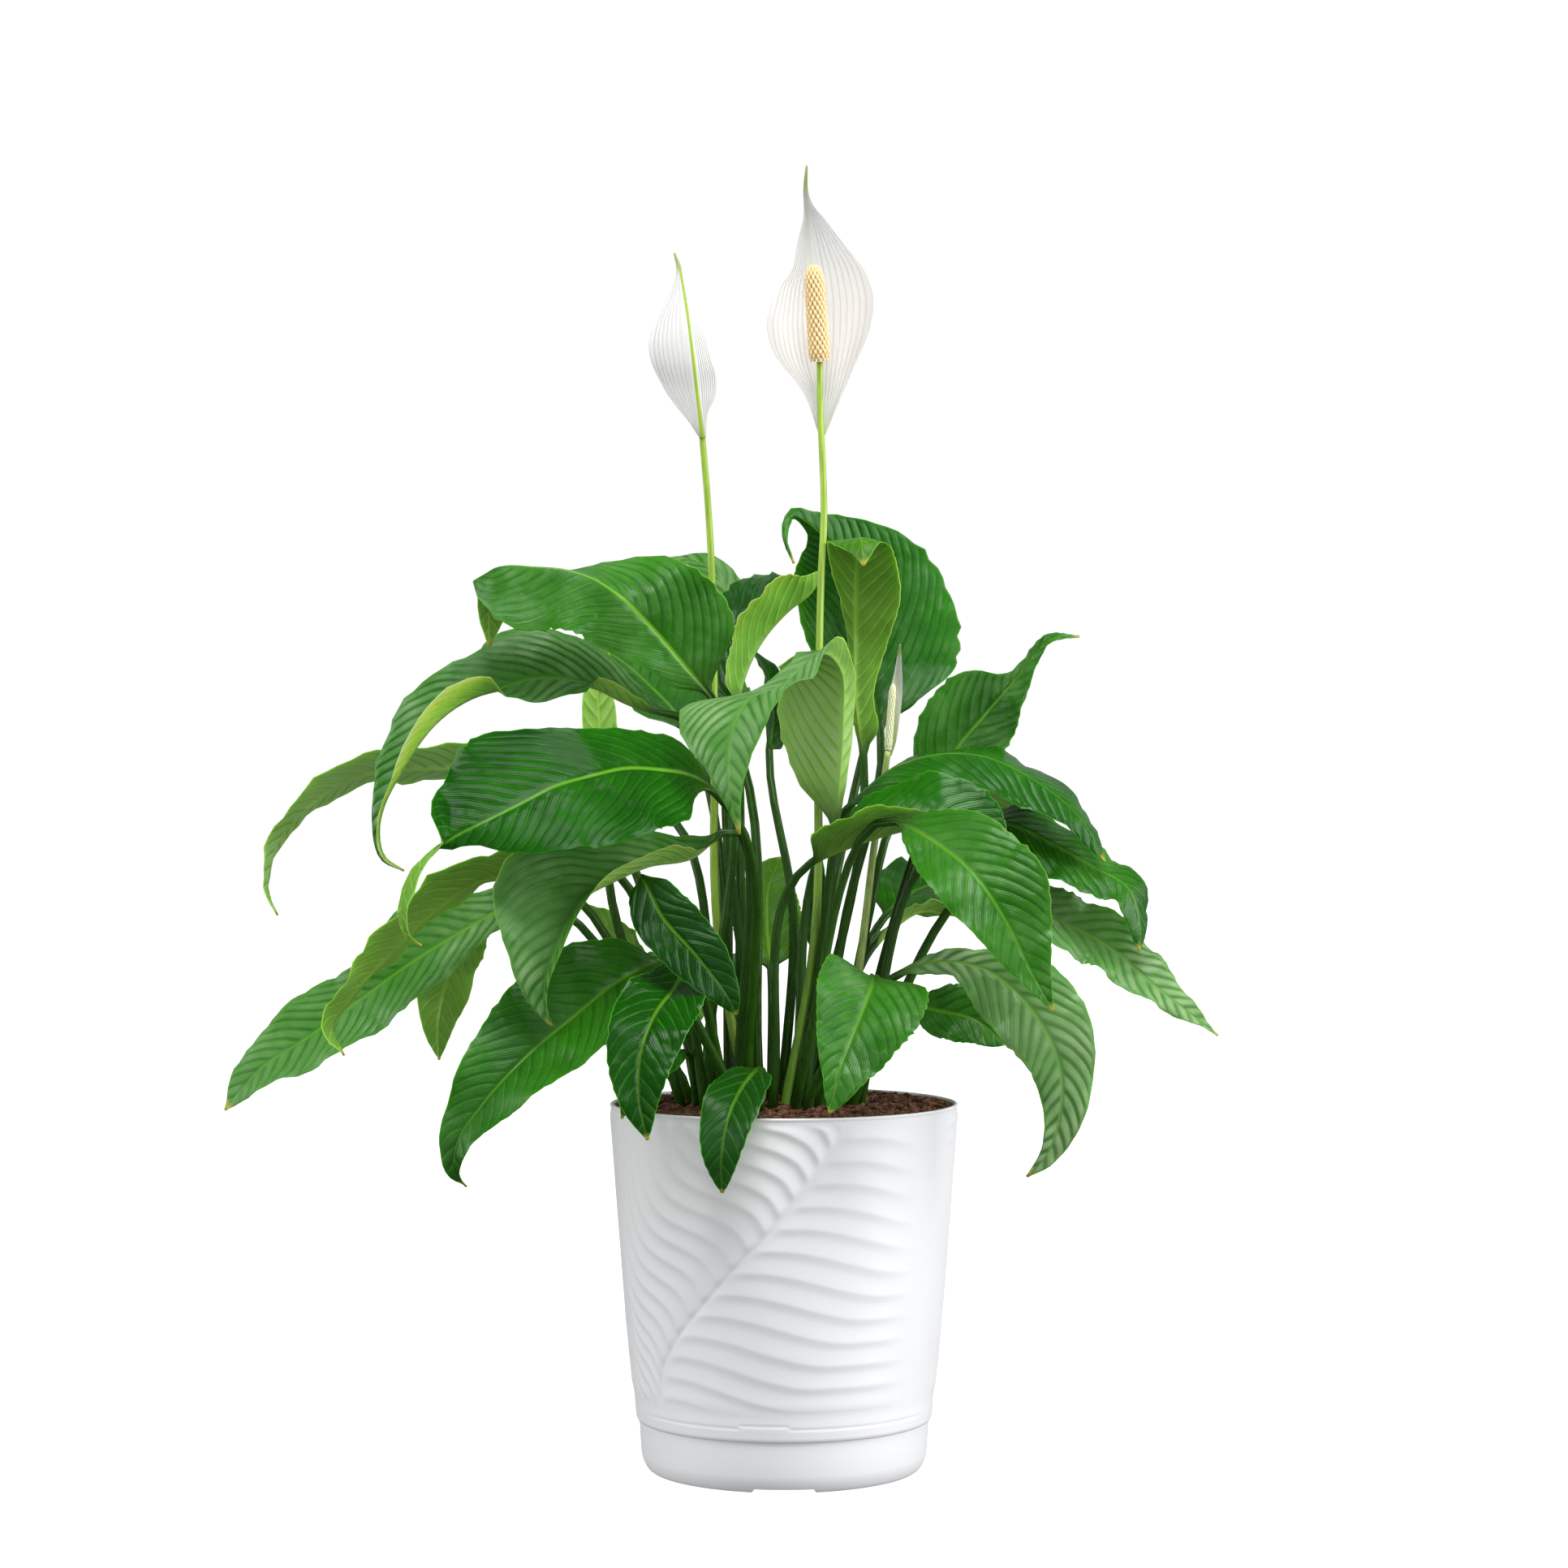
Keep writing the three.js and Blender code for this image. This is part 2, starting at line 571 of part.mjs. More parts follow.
    left: [[0, 2], [0.13, 11], [0.29, 17], [0.42, 17], [0.53, 14], [0.62, 11], [0.74, 8], [0.87, 4],
      [1, 0.5]],
    cupLeft: [[0, 60], [0.3, 72], [0.5, 75], [1, 60]],
    fold: [4, 8], wave: [1.4, 4, 0],
  },
  {
    name: "leaf_09", look: midGreen, hole: [-3, -2], width: 60,
    rib: [[820, 1185, -36], [762, 1210, -52], [705, 1255, -70], [648, 1303, -86], [594, 1362, -98],
      [563, 1410, -104], [560, 1446, -104], [575, 1462, -100]],
    roll: [50, 45], fold: [14, 4], foldLeft: [26, 4], belly: 0.36, taper: 1.2, wave: [2.2, 4.5, 1],
  },
  {
    name: "leaf_10", look: midGreen, hole: [-2, -2], width: 38,
    rib: [[848, 1195, -56], [828, 1222, -78], [803, 1258, -100], [789, 1300, -112], [787, 1350, -116],
      [798, 1405, -116]],
    roll: [20, 20], fold: [12, 0], belly: 0.42, taper: 0.9, wave: [2, 4, 0],
  },
  {
    name: "leaf_11", look: deepGreen, hole: [-2, -3], width: 31, head: [1, -0.3],
    stem: [[812, 1160, -52], [788, 1090, -60]],
    rib: [[791, 1082, -68], [816, 1130, -76], [860, 1180, -80], [899, 1232, -78], [908, 1250, -76]],
    roll: [60, 60], fold: [10, 0], belly: 0.4, taper: 0.8, wave: [1.2, 3, 0],
  },
  // lower middle and right
  {
    name: "leaf_12", look: midGreen, hole: [-1, -3], width: 28,
    rib: [[936, 1318, -62], [915, 1340, -80], [897, 1380, -96], [889, 1425, -101], [890, 1470, -99]],
    roll: [10, 15], fold: [12, 0], belly: 0.4, taper: 0.8, wave: [1, 3, 0], thick: 2.2,
  },
  {
    name: "leaf_13", look: midGreen, hole: [1, -3],
    rib: [[1078, 1204, -64], [1062, 1248, -84], [1045, 1290, -98], [1030, 1332, -106], [1022, 1372, -108]],
    right: [[0, 3.5], [0.09, 25], [0.19, 27], [0.3, 26], [0.4, 23], [0.5, 19.5], [0.6, 16], [0.71, 11.5],
      [0.81, 6.5], [0.91, 3.5], [1, 0.5]],
    left: [[0, 3.5], [0.09, 26], [0.19, 29.5], [0.3, 30], [0.4, 28.5], [0.5, 26.5], [0.6, 23], [0.71, 18],
      [0.81, 13], [0.91, 7.5], [1, 0.5]],
    roll: [15, 20], fold: [38, 6], foldTip: [8, 6], foldLeft: [8, 6], wave: [1.4, 3.5, 0],
  },
  {
    name: "leaf_14", look: midGreen, hole: [2, -1], width: 30,
    rib: [[1128, 1240, -14], [1160, 1246, -20], [1200, 1256, -26], [1240, 1287, -30]],
    roll: [65, 60], fold: [8, 0], belly: 0.45, taper: 0.75, wave: [1, 3, 0], thick: 2,
  },
  {
    name: "leaf_15", look: midGreen, hole: [2, -2],
    rib: [[1100, 1205, -34], [1150, 1186, -46], [1210, 1193, -58], [1268, 1240, -68], [1305, 1310, -74],
      [1305, 1380, -76], [1288, 1425, -75], [1265, 1450, -73]],
    right: [[0, 2], [0.1, 6], [0.2, 8], [0.3, 16], [0.41, 21.5], [0.5, 21], [0.6, 17.5], [0.7, 13],
      [0.8, 8], [0.9, 4], [1, 0.5]],
    left: [[0, 2], [0.1, 5], [0.2, 6], [0.3, 12], [0.41, 20], [0.5, 22.5], [0.6, 20], [0.7, 15], [0.8, 11],
      [0.9, 6.5], [1, 0.5]],
    roll: [50, 60], fold: [8, 0], wave: [2.2, 5, 0],
  },
  {
    name: "leaf_16", look: midGreen, hole: [1, -2],
    rib: [[1105, 1012, -61], [1150, 1036, -77], [1197, 1074, -94], [1240, 1136, -106], [1272, 1200, -112],
      [1298, 1246, -114]],
    right: [[0, 2], [0.1, 9], [0.2, 15], [0.3, 19.5], [0.41, 21], [0.5, 20.5], [0.6, 18], [0.7, 14.5],
      [0.8, 10], [0.9, 5], [1, 0.5]],
    left: [[0, 2], [0.1, 13], [0.2, 20], [0.3, 24], [0.4, 26], [0.5, 27.5], [0.57, 27], [0.66, 22],
      [0.76, 15.5], [0.86, 9], [1, 0.5]],
    roll: [50, 50], fold: [8, 4], wave: [1.6, 3.5, 0],
  },
  {
    name: "leaf_17", look: deepGreen, hole: [0, -2], width: 58,
    rib: [[1000, 1062, -25], [1050, 1040, -34], [1120, 1020, -38], [1180, 1014, -38], [1240, 1036, -36]],
    roll: [-10, 42], fold: [33, 8], belly: 0.5, taper: 0.66, wave: [1.4, 3, 0],
  },
  {
    name: "leaf_18", look: deepGreen, hole: [1, 0],
    rib: [[1040, 1000, 8], [1110, 942, -2], [1200, 930, -9], [1280, 965, -15], [1332, 1010, -19],
      [1362, 1062, -21]],
    right: [[0, 2], [0.1, 14.5], [0.2, 21], [0.3, 24], [0.4, 25], [0.5, 24], [0.6, 22], [0.7, 18],
      [0.8, 13.5], [0.9, 7.5], [1, 0.5]],
    left: [[0, 2], [0.1, 14.5], [0.2, 21], [0.3, 26], [0.4, 29], [0.5, 31], [0.6, 31], [0.7, 28],
      [0.8, 22], [0.9, 13], [1, 0.5]],
    roll: [20, 26], fold: [-14, -6], wave: [1.8, 4, 0],
  },
  {
    name: "leaf_19", look: midGreen, hole: [4, 0], width: 42,
    rib: [[1180, 1030, 6], [1237, 1015, 0], [1300, 1042, -6], [1350, 1070, -12], [1390, 1095, -18],
      [1403, 1135, -22], [1404, 1172, -23]],
    roll: [35, 30], fold: [-8, 0], belly: 0.35, taper: 0.8, wave: [1.8, 4, 0],
  },
  {
    name: "leaf_20", look: midGreen, hole: [3, -1], width: 36,
    rib: [[1240, 1090, 2], [1300, 1131, -6], [1362, 1164, -6], [1420, 1213, -16], [1501, 1276, -24]],
    roll: [45, 45], fold: [8, 0], belly: 0.36, taper: 1.1, wave: [2, 4.5, 0],
  },
  // upper right
  {
    name: "leaf_21", look: midGreen, hole: [3, 1],
    rib: [[1152, 985, 36], [1178, 925, 38], [1215, 880, 35], [1247, 842, 27], [1277, 803, 18],
      [1292, 788, 13], [1330, 784, 10]],
    right: [[0, 2], [0.1, 16], [0.23, 26], [0.44, 23], [0.62, 15], [0.79, 4.5], [0.87, 3], [1, 0.5]],
    left: [[0, 2], [0.1, 16], [0.23, 25], [0.44, 28], [0.52, 20], [0.62, 6], [0.79, 3.5], [0.87, 3],
      [1, 0.5]],
    roll: [80, 60], fold: [8, 0], wave: [1, 3.5, 0],
  },
  {
    name: "leaf_22", look: deepGreen, hole: [2, 2], head: [-1, 0],
    stem: [[1042, 1130, 34]],
    rib: [[1085, 905, 52], [1072, 845, 62], [1062, 780, 66], [1048, 722, 62], [1025, 676, 52],
      [998, 647, 42], [977, 635, 36], [967, 656, 30], [978, 694, 27]],
    right: [[0, 2], [0.08, 22], [0.2, 45], [0.33, 50], [0.45, 47], [0.55, 36], [0.65, 20], [0.75, 8],
      [0.85, 2.5], [0.95, 1.5], [1, 0.5]],
    left: [[0, 2], [0.1, 24], [0.25, 42], [0.38, 46], [0.5, 40], [0.6, 25], [0.7, 9.5], [0.78, 3],
      [0.9, 1.5], [1, 0.5]],
    roll: [86, 60], fold: [4, 0], foldLeft: [-66, -8], foldLeftTip: [-60, 0], wave: [1.6, 4, 0],
  },
  {
    name: "leaf_23", look: paleGreen, hole: [1, 1], head: [-0.3, -1],
    rib: [[1064, 935, 28], [1055, 860, 32], [1053, 795, 32], [1055, 738, 28], [1057, 694, 18],
      [1059, 664, 4], [1062, 668, -10], [1064, 697, -16]],
    right: [[0, 2], [0.12, 4], [0.21, 3], [0.39, 4], [0.55, 9], [0.7, 15], [0.82, 15], [0.92, 8],
      [1, 0.5]],
    left: [[0, 2], [0.1, 10], [0.21, 9], [0.39, 16], [0.55, 22], [0.7, 20], [0.82, 16], [0.92, 8],
      [1, 0.5]],
    roll: [0, 0], fold: [35, 10], foldTip: [-18, -8], wave: [1, 3, 0],
  },
  // centre, leaning out to the front
  {
    name: "leaf_24", look: midGreen, hole: [1, -1], head: [-0.3, -1],
    rib: [[1028, 1032, -6], [1036, 960, -10], [1040, 890, -14], [1038, 826, -24], [1016, 802, -42],
      [965, 844, -62], [920, 866, -80], [901, 905, -92], [898, 967, -100], [911, 1028, -102]],
    right: [[0, 2], [0.1, 22], [0.25, 34], [0.38, 31], [0.46, 16], [0.53, 8], [0.6, 10], [0.66, 26],
      [0.72, 35], [0.79, 27], [0.87, 11], [0.94, 4], [1, 0.5]],
    left: [[0, 2], [0.1, 5], [0.25, 6], [0.4, 8], [0.5, 13], [0.6, 21], [0.7, 21], [0.8, 15], [0.9, 7],
      [1, 0.5]],
    roll: [0, 0], fold: [10, 0], foldTip: [-14, -10], foldLeft: [75, 8], foldLeftTip: [-10, 0],
    wave: [1.4, 4, 0],
  },
  {
    name: "leaf_25", look: midGreen, hole: [-1, 1],
    rib: [[905, 872, 30], [918, 825, 36], [940, 785, 42], [970, 752, 46], [1000, 728, 48],
      [1014, 702, 50]],
    right: [[0, 2], [0.15, 12], [0.4, 19], [0.65, 20], [0.85, 14], [1, 0.5]],
    left: [[0, 2], [0.15, 18], [0.35, 31], [0.55, 32], [0.75, 21], [0.9, 8], [1, 0.5]],
    roll: [0, 0], fold: [62, 10], foldLeft: [48, 10], wave: [1.2, 3, 0],
  },
  {
    name: "leaf_26", look: midGreen, hole: [-2, 3], width: 24,
    rib: [[905, 810, 70], [900, 750, 80], [878, 704, 88], [850, 689, 92], [820, 688, 96]],
    roll: [30, 20], fold: [6, 0], belly: 0.4, taper: 0.8, wave: [0.8, 3, 0],
  },
  {
    name: "leaf_27", look: deepGreen, hole: [0, 3], width: 28,
    stem: [[978, 1130, 40]],
    rib: [[948, 925, 74], [952, 875, 86], [942, 822, 92], [920, 795, 94]],
    roll: [-40, -30], fold: [10, 0], belly: 0.4, taper: 0.8, wave: [0.8, 3, 0],
  },
  {
    name: "leaf_28", look: paleGreen, hole: [-4, 2], width: 18, head: [0, -1],
    stem: [[752, 1100, 34]],
    rib: [[744, 985, 40], [742, 930, 44], [738, 880, 50], [737, 840, 56], [750, 806, 66]],
    roll: [0, 0], fold: [14, 0], belly: 0.5, taper: 0.8, wave: [0.8, 3, 0],
  },
  {
    name: "leaf_29", look: paleGreen, hole: [2, 1], width: 28,
    rib: [[1074, 1168, 34], [1100, 1142, 48], [1136, 1122, 60], [1178, 1128, 67]],
    roll: [-30, -20], fold: [8, 0], belly: 0.42, taper: 0.8, wave: [1, 3, 0],
  },
  {
    name: "leaf_30", look: paleGreen, hole: [0, 2], width: 36,
    rib: [[950, 1195, 42], [945, 1140, 58], [948, 1090, 70], [962, 1056, 76]],
    roll: [10, 10], fold: [10, 0], belly: 0.42, taper: 0.7, wave: [1, 3, 0],
  },
  {
    name: "leaf_31", look: deepGreen, hole: [0, 1], width: 14, head: [1, 0],
    rib: [[1012, 1190, 20], [1008, 1130, 22], [1010, 1090, 22], [1012, 1056, 22]],
    roll: [70, 70], fold: [30, 10], belly: 0.42, taper: 0.7, wave: [0.6, 2, 0], thick: 2.2,
  },
  // small ones low in the crown
  {
    name: "leaf_32", look: midGreen, hole: [-4, -1], width: 15,
    rib: [[845, 1296, -26], [815, 1312, -42], [782, 1338, -58], [766, 1378, -66]],
    roll: [30, 30], fold: [6, 0], belly: 0.42, taper: 0.8, wave: [0.6, 2, 0], thick: 1.8,
  },
  {
    name: "leaf_34", look: paleGreen, hole: [-3, 2], width: 22,
    rib: [[800, 1190, 34], [768, 1158, 42], [738, 1132, 48], [711, 1112, 52]],
    roll: [-50, -50], fold: [8, 0], belly: 0.42, taper: 0.8, wave: [0.8, 3, 0], thick: 2,
  },
  // round the back
  {
    name: "leaf_35", look: midGreen, hole: [-2, 1], width: 60, back: true,
    rib: [[850, 905, 60], [805, 850, 100], [745, 803, 132], [700, 797, 156], [676, 822, 170],
      [668, 850, 176]],
    roll: [10, 10], fold: [10, 0], belly: 0.4, taper: 0.9, wave: [2, 4, 0],
  },
  {
    name: "leaf_36", look: deepGreen, hole: [-3, 3], width: 62, back: true,
    rib: [[830, 1010, 50], [765, 972, 84], [700, 962, 116], [650, 985, 138], [625, 1025, 150],
      [618, 1050, 154]],
    roll: [10, 10], fold: [8, 0], belly: 0.4, taper: 0.9, wave: [2, 4, 1],
  },
  {
    name: "leaf_37", look: midGreen, hole: [-2, 2], width: 48, back: true,
    rib: [[885, 905, 80], [870, 860, 120], [856, 838, 152], [846, 850, 176], [842, 885, 190]],
    roll: [0, 0], fold: [10, 0], belly: 0.4, taper: 0.9, wave: [1.6, 4, 0],
  },
  {
    name: "leaf_38", look: deepGreen, hole: [1, 2], width: 58, back: true,
    stem: [[1030, 1080, 56]],
    rib: [[1070, 905, 88], [1096, 820, 116], [1114, 765, 144], [1124, 755, 168], [1130, 790, 188]],
    roll: [0, 0], fold: [10, 0], belly: 0.4, taper: 0.9, wave: [2, 4, 0],
  },
  {
    name: "leaf_39", look: midGreen, hole: [3, 2], width: 58, back: true,
    stem: [[1070, 1130, 54]],
    rib: [[1100, 1012, 66], [1146, 970, 98], [1194, 965, 130], [1226, 1000, 152], [1238, 1050, 162]],
    roll: [10, 10], fold: [8, 0], belly: 0.4, taper: 0.9, wave: [2, 4, 0],
  },
  {
    name: "leaf_40", look: midGreen, hole: [2, 3], width: 50, back: true,
    rib: [[1090, 1130, 72], [1135, 1095, 100], [1180, 1090, 126], [1215, 1125, 144], [1228, 1165, 150]],
    roll: [20, 20], fold: [8, 0], belly: 0.4, taper: 0.9, wave: [2, 4, 2],
  },
  {
    name: "leaf_41", look: midGreen, hole: [-4, 3], width: 54, back: true,
    rib: [[818, 1195, 46], [762, 1198, 80], [705, 1225, 110], [665, 1272, 128], [645, 1318, 136]],
    roll: [10, 10], fold: [8, 0], belly: 0.4, taper: 0.9, wave: [2, 4, 0],
  },
  {
    name: "leaf_42", look: midGreen, hole: [1, 3], width: 44, back: true,
    rib: [[1038, 1250, 56], [1058, 1225, 86], [1074, 1235, 112], [1082, 1275, 132], [1084, 1310, 140]],
    roll: [0, 0], fold: [8, 0], belly: 0.4, taper: 0.9, wave: [1.6, 4, 0],
  },
  {
    name: "leaf_33", look: midGreen, hole: [-1, 3], width: 42, back: true,
    rib: [[905, 1205, 64], [885, 1180, 96], [868, 1190, 124], [860, 1228, 146], [858, 1265, 156]],
    roll: [0, 0], fold: [8, 0], belly: 0.4, taper: 0.9, wave: [1.6, 4, 0],
  },
];

function makeLeaf(leaf) {
  const small = leaf.back || leaf.width < 32;
  const twisted = Array.isArray((leaf.roll ?? [0, 0])[0]);
  const rows = small ? BACK_ROWS : twisted ? TWIST_ROWS : BLADE_ROWS;
  const rings = leafRings(leaf, rows, STEM_ROWS);
  const [x, y] = hole(...leaf.hole);
  const geometry = skin(rings);
  geometry.translate(-x, -y, -SOIL_Z);
  addMesh(leaf.name, geometry, leaf.look, [x, y, SOIL_Z]);
}

// ---------------------------------------------------------------- flowers
// stalk: points up to the foot of the spadix; spadix: foot and top; spathe: points along its rib;
// right and left: its half widths along the rib, seen from the side that it cups to.
const flowers = [
  {
    name: "flower_1", hole: [0, -1],
    stalk: [[1003, 1160, -2], [1008, 900, 10], [1012, 700, 12], [1015, 640, 12], [1013, 560, 11],
      [1011, 520, 10], [1010, 446, 6]],
    spadix: [[1010, 445, 5.9], [1002, 326, 0]], spadixRadius: 5.4,
    spathe: [[1013, 536, 12.8], [1010, 500, 15.4], [1004, 440, 24], [1000, 380, 28], [998, 320, 26],
      [996, 270, 20], [992, 232, 12], [994, 204, 8]],
    head: [0, 1], fold: [16, 16],
    right: [[0, 1.5], [0.1, 9], [0.2, 18], [0.28, 25], [0.4, 32], [0.49, 34], [0.59, 31], [0.69, 22],
      [0.79, 11], [0.88, 2.6], [1, 0.5]],
    left: [[0, 1.5], [0.14, 7], [0.2, 12], [0.26, 19], [0.34, 24], [0.42, 25], [0.47, 23], [0.55, 19],
      [0.635, 10], [0.72, 7], [0.82, 2.4], [1, 0.5]],
  },
  {
    name: "flower_2", hole: [-1, 0],
    stalk: [[885, 1160, 14], [880, 900, 22], [878, 735, 22], [872, 620, 22], [867, 560, 20],
      [864, 525, 19], [862, 500, 20]],
    spadix: [[861.8, 499.1, 20], [850, 395, 25]], spadixRadius: 4.2,
    spathe: [[866, 540, 18], [859, 483, 12.6], [855, 447, 8], [848, 393, 6], [841, 350, 8],
      [837, 328, 10], [831, 312, 12]],
    head: [0, -1], fold: [16, 16],
    right: [[0, 1.5], [0.09, 6], [0.19, 13], [0.28, 19], [0.4, 23], [0.52, 23.5], [0.62, 20],
      [0.75, 11], [0.9, 2.2], [1, 0.5]],
    left: [[0, 1.5], [0.12, 4], [0.23, 10], [0.3, 11], [0.43, 9.5], [0.58, 7], [0.67, 3.6],
      [0.83, 1.6], [1, 0.5]],
  },
  {
    name: "flower_3", hole: [3, 0],
    stalk: [[1060, 1180, 14], [1080, 1020, 24], [1089, 960, 26], [1094, 925, 24]],
    spadix: [[1094.2, 924, 24], [1100.5, 842, 21]], spadixRadius: 2,
    spathe: [[1094.6, 931, 26.7], [1098.5, 895, 27.8], [1103.5, 850, 26.2], [1107, 815, 21.5],
      [1109, 794, 18]],
    head: [0, 1], fold: [20, 30],
    right: [[0, 1.5], [0.12, 3.2], [0.35, 4.4], [0.6, 4], [0.85, 1.8], [1, 0.5]],
    left: [[0, 1.5], [0.12, 2.8], [0.35, 3.4], [0.6, 3], [0.85, 1.4], [1, 0.5]],
  },
];

function stalkRings(flower) {
  const [hx, hy] = hole(...flower.hole);
  const points = [new THREE.Vector3(hx, hy, SOIL_Z + 4), ...flower.stalk.map(sheet)];
  const line = smoothLine(points, 6);
  const sums = lengthsOf(line);
  const total = sums[sums.length - 1];
  const rows = 11;
  const rings = [];
  for (let i = 0; i <= rows; i += 1) {
    const s = (total * i) / rows;
    const here = pointAt(line, sums, s);
    const way = pointAt(line, sums, Math.min(total, s + 2)).sub(pointAt(line, sums, Math.max(0, s - 2)));
    way.normalize();
    const right = new THREE.Vector3(1, 0, 0).addScaledVector(way, -way.x).normalize();
    const top = right.clone().cross(way);
    const radius = 2.4 - (0.9 * i) / rows;
    const ring = [];
    for (let j = 0; j < 8; j += 1) {
      const a = (Math.PI * j) / 4;
      ring.push(here.clone().addScaledVector(right, radius * Math.cos(a))
        .addScaledVector(top, radius * Math.sin(a)));
    }
    rings.push(ring);
  }
  const bottom = rings[0].map((p) => new THREE.Vector3(p.x, p.y, HOLE_FLOOR_Z + SOIL_GAP));
  const level = rings[0].map((p) => new THREE.Vector3(p.x, p.y, SOIL_Z + 2.4));
  return [bottom, level, ...rings.slice(1)];
}

// The spadix is a knobbly club: each row of knobs sits half a knob round from the row below.
function spadixRings(flower) {
  const [low, high] = flower.spadix.map(sheet);
  const way = high.clone().sub(low);
  const long = way.length();
  way.normalize();
  const right = new THREE.Vector3(1, 0, 0).addScaledVector(way, -way.x).normalize();
  const top = right.clone().cross(way);
  const rows = flower.spadixRadius > 3 ? 13 : 9;
  const rings = [];
  for (let i = 0; i <= rows; i += 1) {
    const t = i / rows;
    const round = Math.sqrt(Math.max(0.06, 1 - (Math.max(0, t - 0.82) / 0.185) ** 2));
    const base = flower.spadixRadius * (0.86 + 0.14 * smooth(0, 0.1, t)) * round;
    const ring = [];
    for (let j = 0; j < 10; j += 1) {
      const a = (Math.PI * j) / 5;
      const knob = (i + j) % 2 === 0 ? 1.05 : 0.9;
      ring.push(low.clone().addScaledVector(way, long * t)
        .addScaledVector(right, base * knob * Math.cos(a))
        .addScaledVector(top, base * knob * Math.sin(a)));
    }
    rings.push(ring);
  }
  return rings;
}

function spatheRings(flower) {
  const rib = flower.spathe.map(sheet);
  const line = smoothLine(rib, 14);
  const sums = lengthsOf(line);
  const total = sums[sums.length - 1];
  const side = new THREE.Vector3(flower.head[1], -flower.head[0], 0).normalize();
  const rows = flower.spadixRadius > 3 ? 14 : 9;
  const rings = [];
  for (let i = 0; i <= rows; i += 1) {
    const t = i / rows;
    const s = total * t;
    const here = pointAt(line, sums, s);
    const behind = pointAt(line, sums, Math.max(0, s - 1.5));
    const way = pointAt(line, sums, Math.min(total, s + 1.5)).sub(behind).normalize();
    const right = side.clone().addScaledVector(way, -side.dot(way)).normalize();
    const top = right.clone().cross(way);
    const cup = smooth(-0.1, 0.3, t); // flatter at the foot, where it clasps the stalk
    const a0 = THREE.MathUtils.degToRad(cup * flower.fold[0]);
    const a1 = THREE.MathUtils.degToRad(cup * (flower.fold[0] + flower.fold[1]));
    const thick = 0.9;
    const across = [flower.right, flower.left].map((edge) => {
      const w = along(edge, t);
      const q = [(w / 2) * Math.cos(a0), (w / 2) * Math.sin(a0)];
      return { q, m: [q[0] + (w / 2) * Math.cos(a1), q[1] + (w / 2) * Math.sin(a1)] };
    });
    const [r, l] = across;
    const flat = [
      r.m,
      [r.q[0], r.q[1] + thick / 2],
      [0, thick * 0.4],
      [-l.q[0], l.q[1] + thick / 2],
      [-l.m[0], l.m[1]],
      [-l.q[0], l.q[1] - thick / 2],
      [0, -thick * 0.4 - 0.8 * (1 - 0.6 * t)],
      [r.q[0], r.q[1] - thick / 2],
    ];
    rings.push(flat.map(([x, y]) => here.clone().addScaledVector(right, x).addScaledVector(top, y)));
  }
  return rings;
}

function makeFlower(flower) {
  const parts = [
    ["stalk", stalkRings(flower), stalkGreen],
    ["spadix", spadixRings(flower), cream],
    ["spathe", spatheRings(flower), petalWhite],
  ];
  for (const [kind, rings, look] of parts) {
    const geometry = skin(rings);
    const foot = rings[0][0].clone();
    geometry.translate(-foot.x, -foot.y, -foot.z);
    addMesh(`${flower.name}_${kind}`, geometry, look, foot.toArray());
  }
}

// ---------------------------------------------------------------- soil
function makeSoil() {
  const sides = 30;
  const rings = [];
  const wall = (z) => along(POT_PROFILE, z) - POT_WALL - SOIL_GAP - 0.9;
  const ring = (radius, z, rough) => {
    const row = [];
    for (let j = 0; j < sides; j += 1) {
      const a = (-2 * Math.PI * j) / sides;
      const bump = rough * (Math.sin(a * 7 + radius) + Math.sin(a * 4 - radius * 0.6));
      row.push(new THREE.Vector3(radius * Math.cos(a), radius * Math.sin(a), z + bump));
    }
    rings.push(row);
  };
  const low = POT_FLOOR_Z + POT_FLOOR + SOIL_GAP;
  ring(4, low, 0);
  ring(wall(low) - 0.8, low, 0);
  ring(wall(SOIL_Z), SOIL_Z - 1.4, 0);
  ring(wall(SOIL_Z) - 6, SOIL_Z - 0.4, 0.5);
  ring(56, SOIL_Z, 0.7);
  ring(46, SOIL_Z + 0.6, 0.4);
  ring(4, SOIL_Z + 1.4, 0);
  let solid = toSolid(skin(rings));
  for (const one of [...leaves, ...flowers]) {
    const [x, y] = hole(...one.hole);
    const cut = prism(STEM_RADIUS + SOIL_GAP + 0.45, HOLE_FLOOR_Z, SOIL_Z + 6, x, y, 6);
    solid = solid.subtract(toSolid(cut));
  }
  addMesh("soil", toGeometry(solid), earth);
}

makeSaucer();
makePot();
makeSoil();
leaves.forEach(makeLeaf);
flowers.forEach(makeFlower);

export default plant;
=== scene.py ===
import math
import random

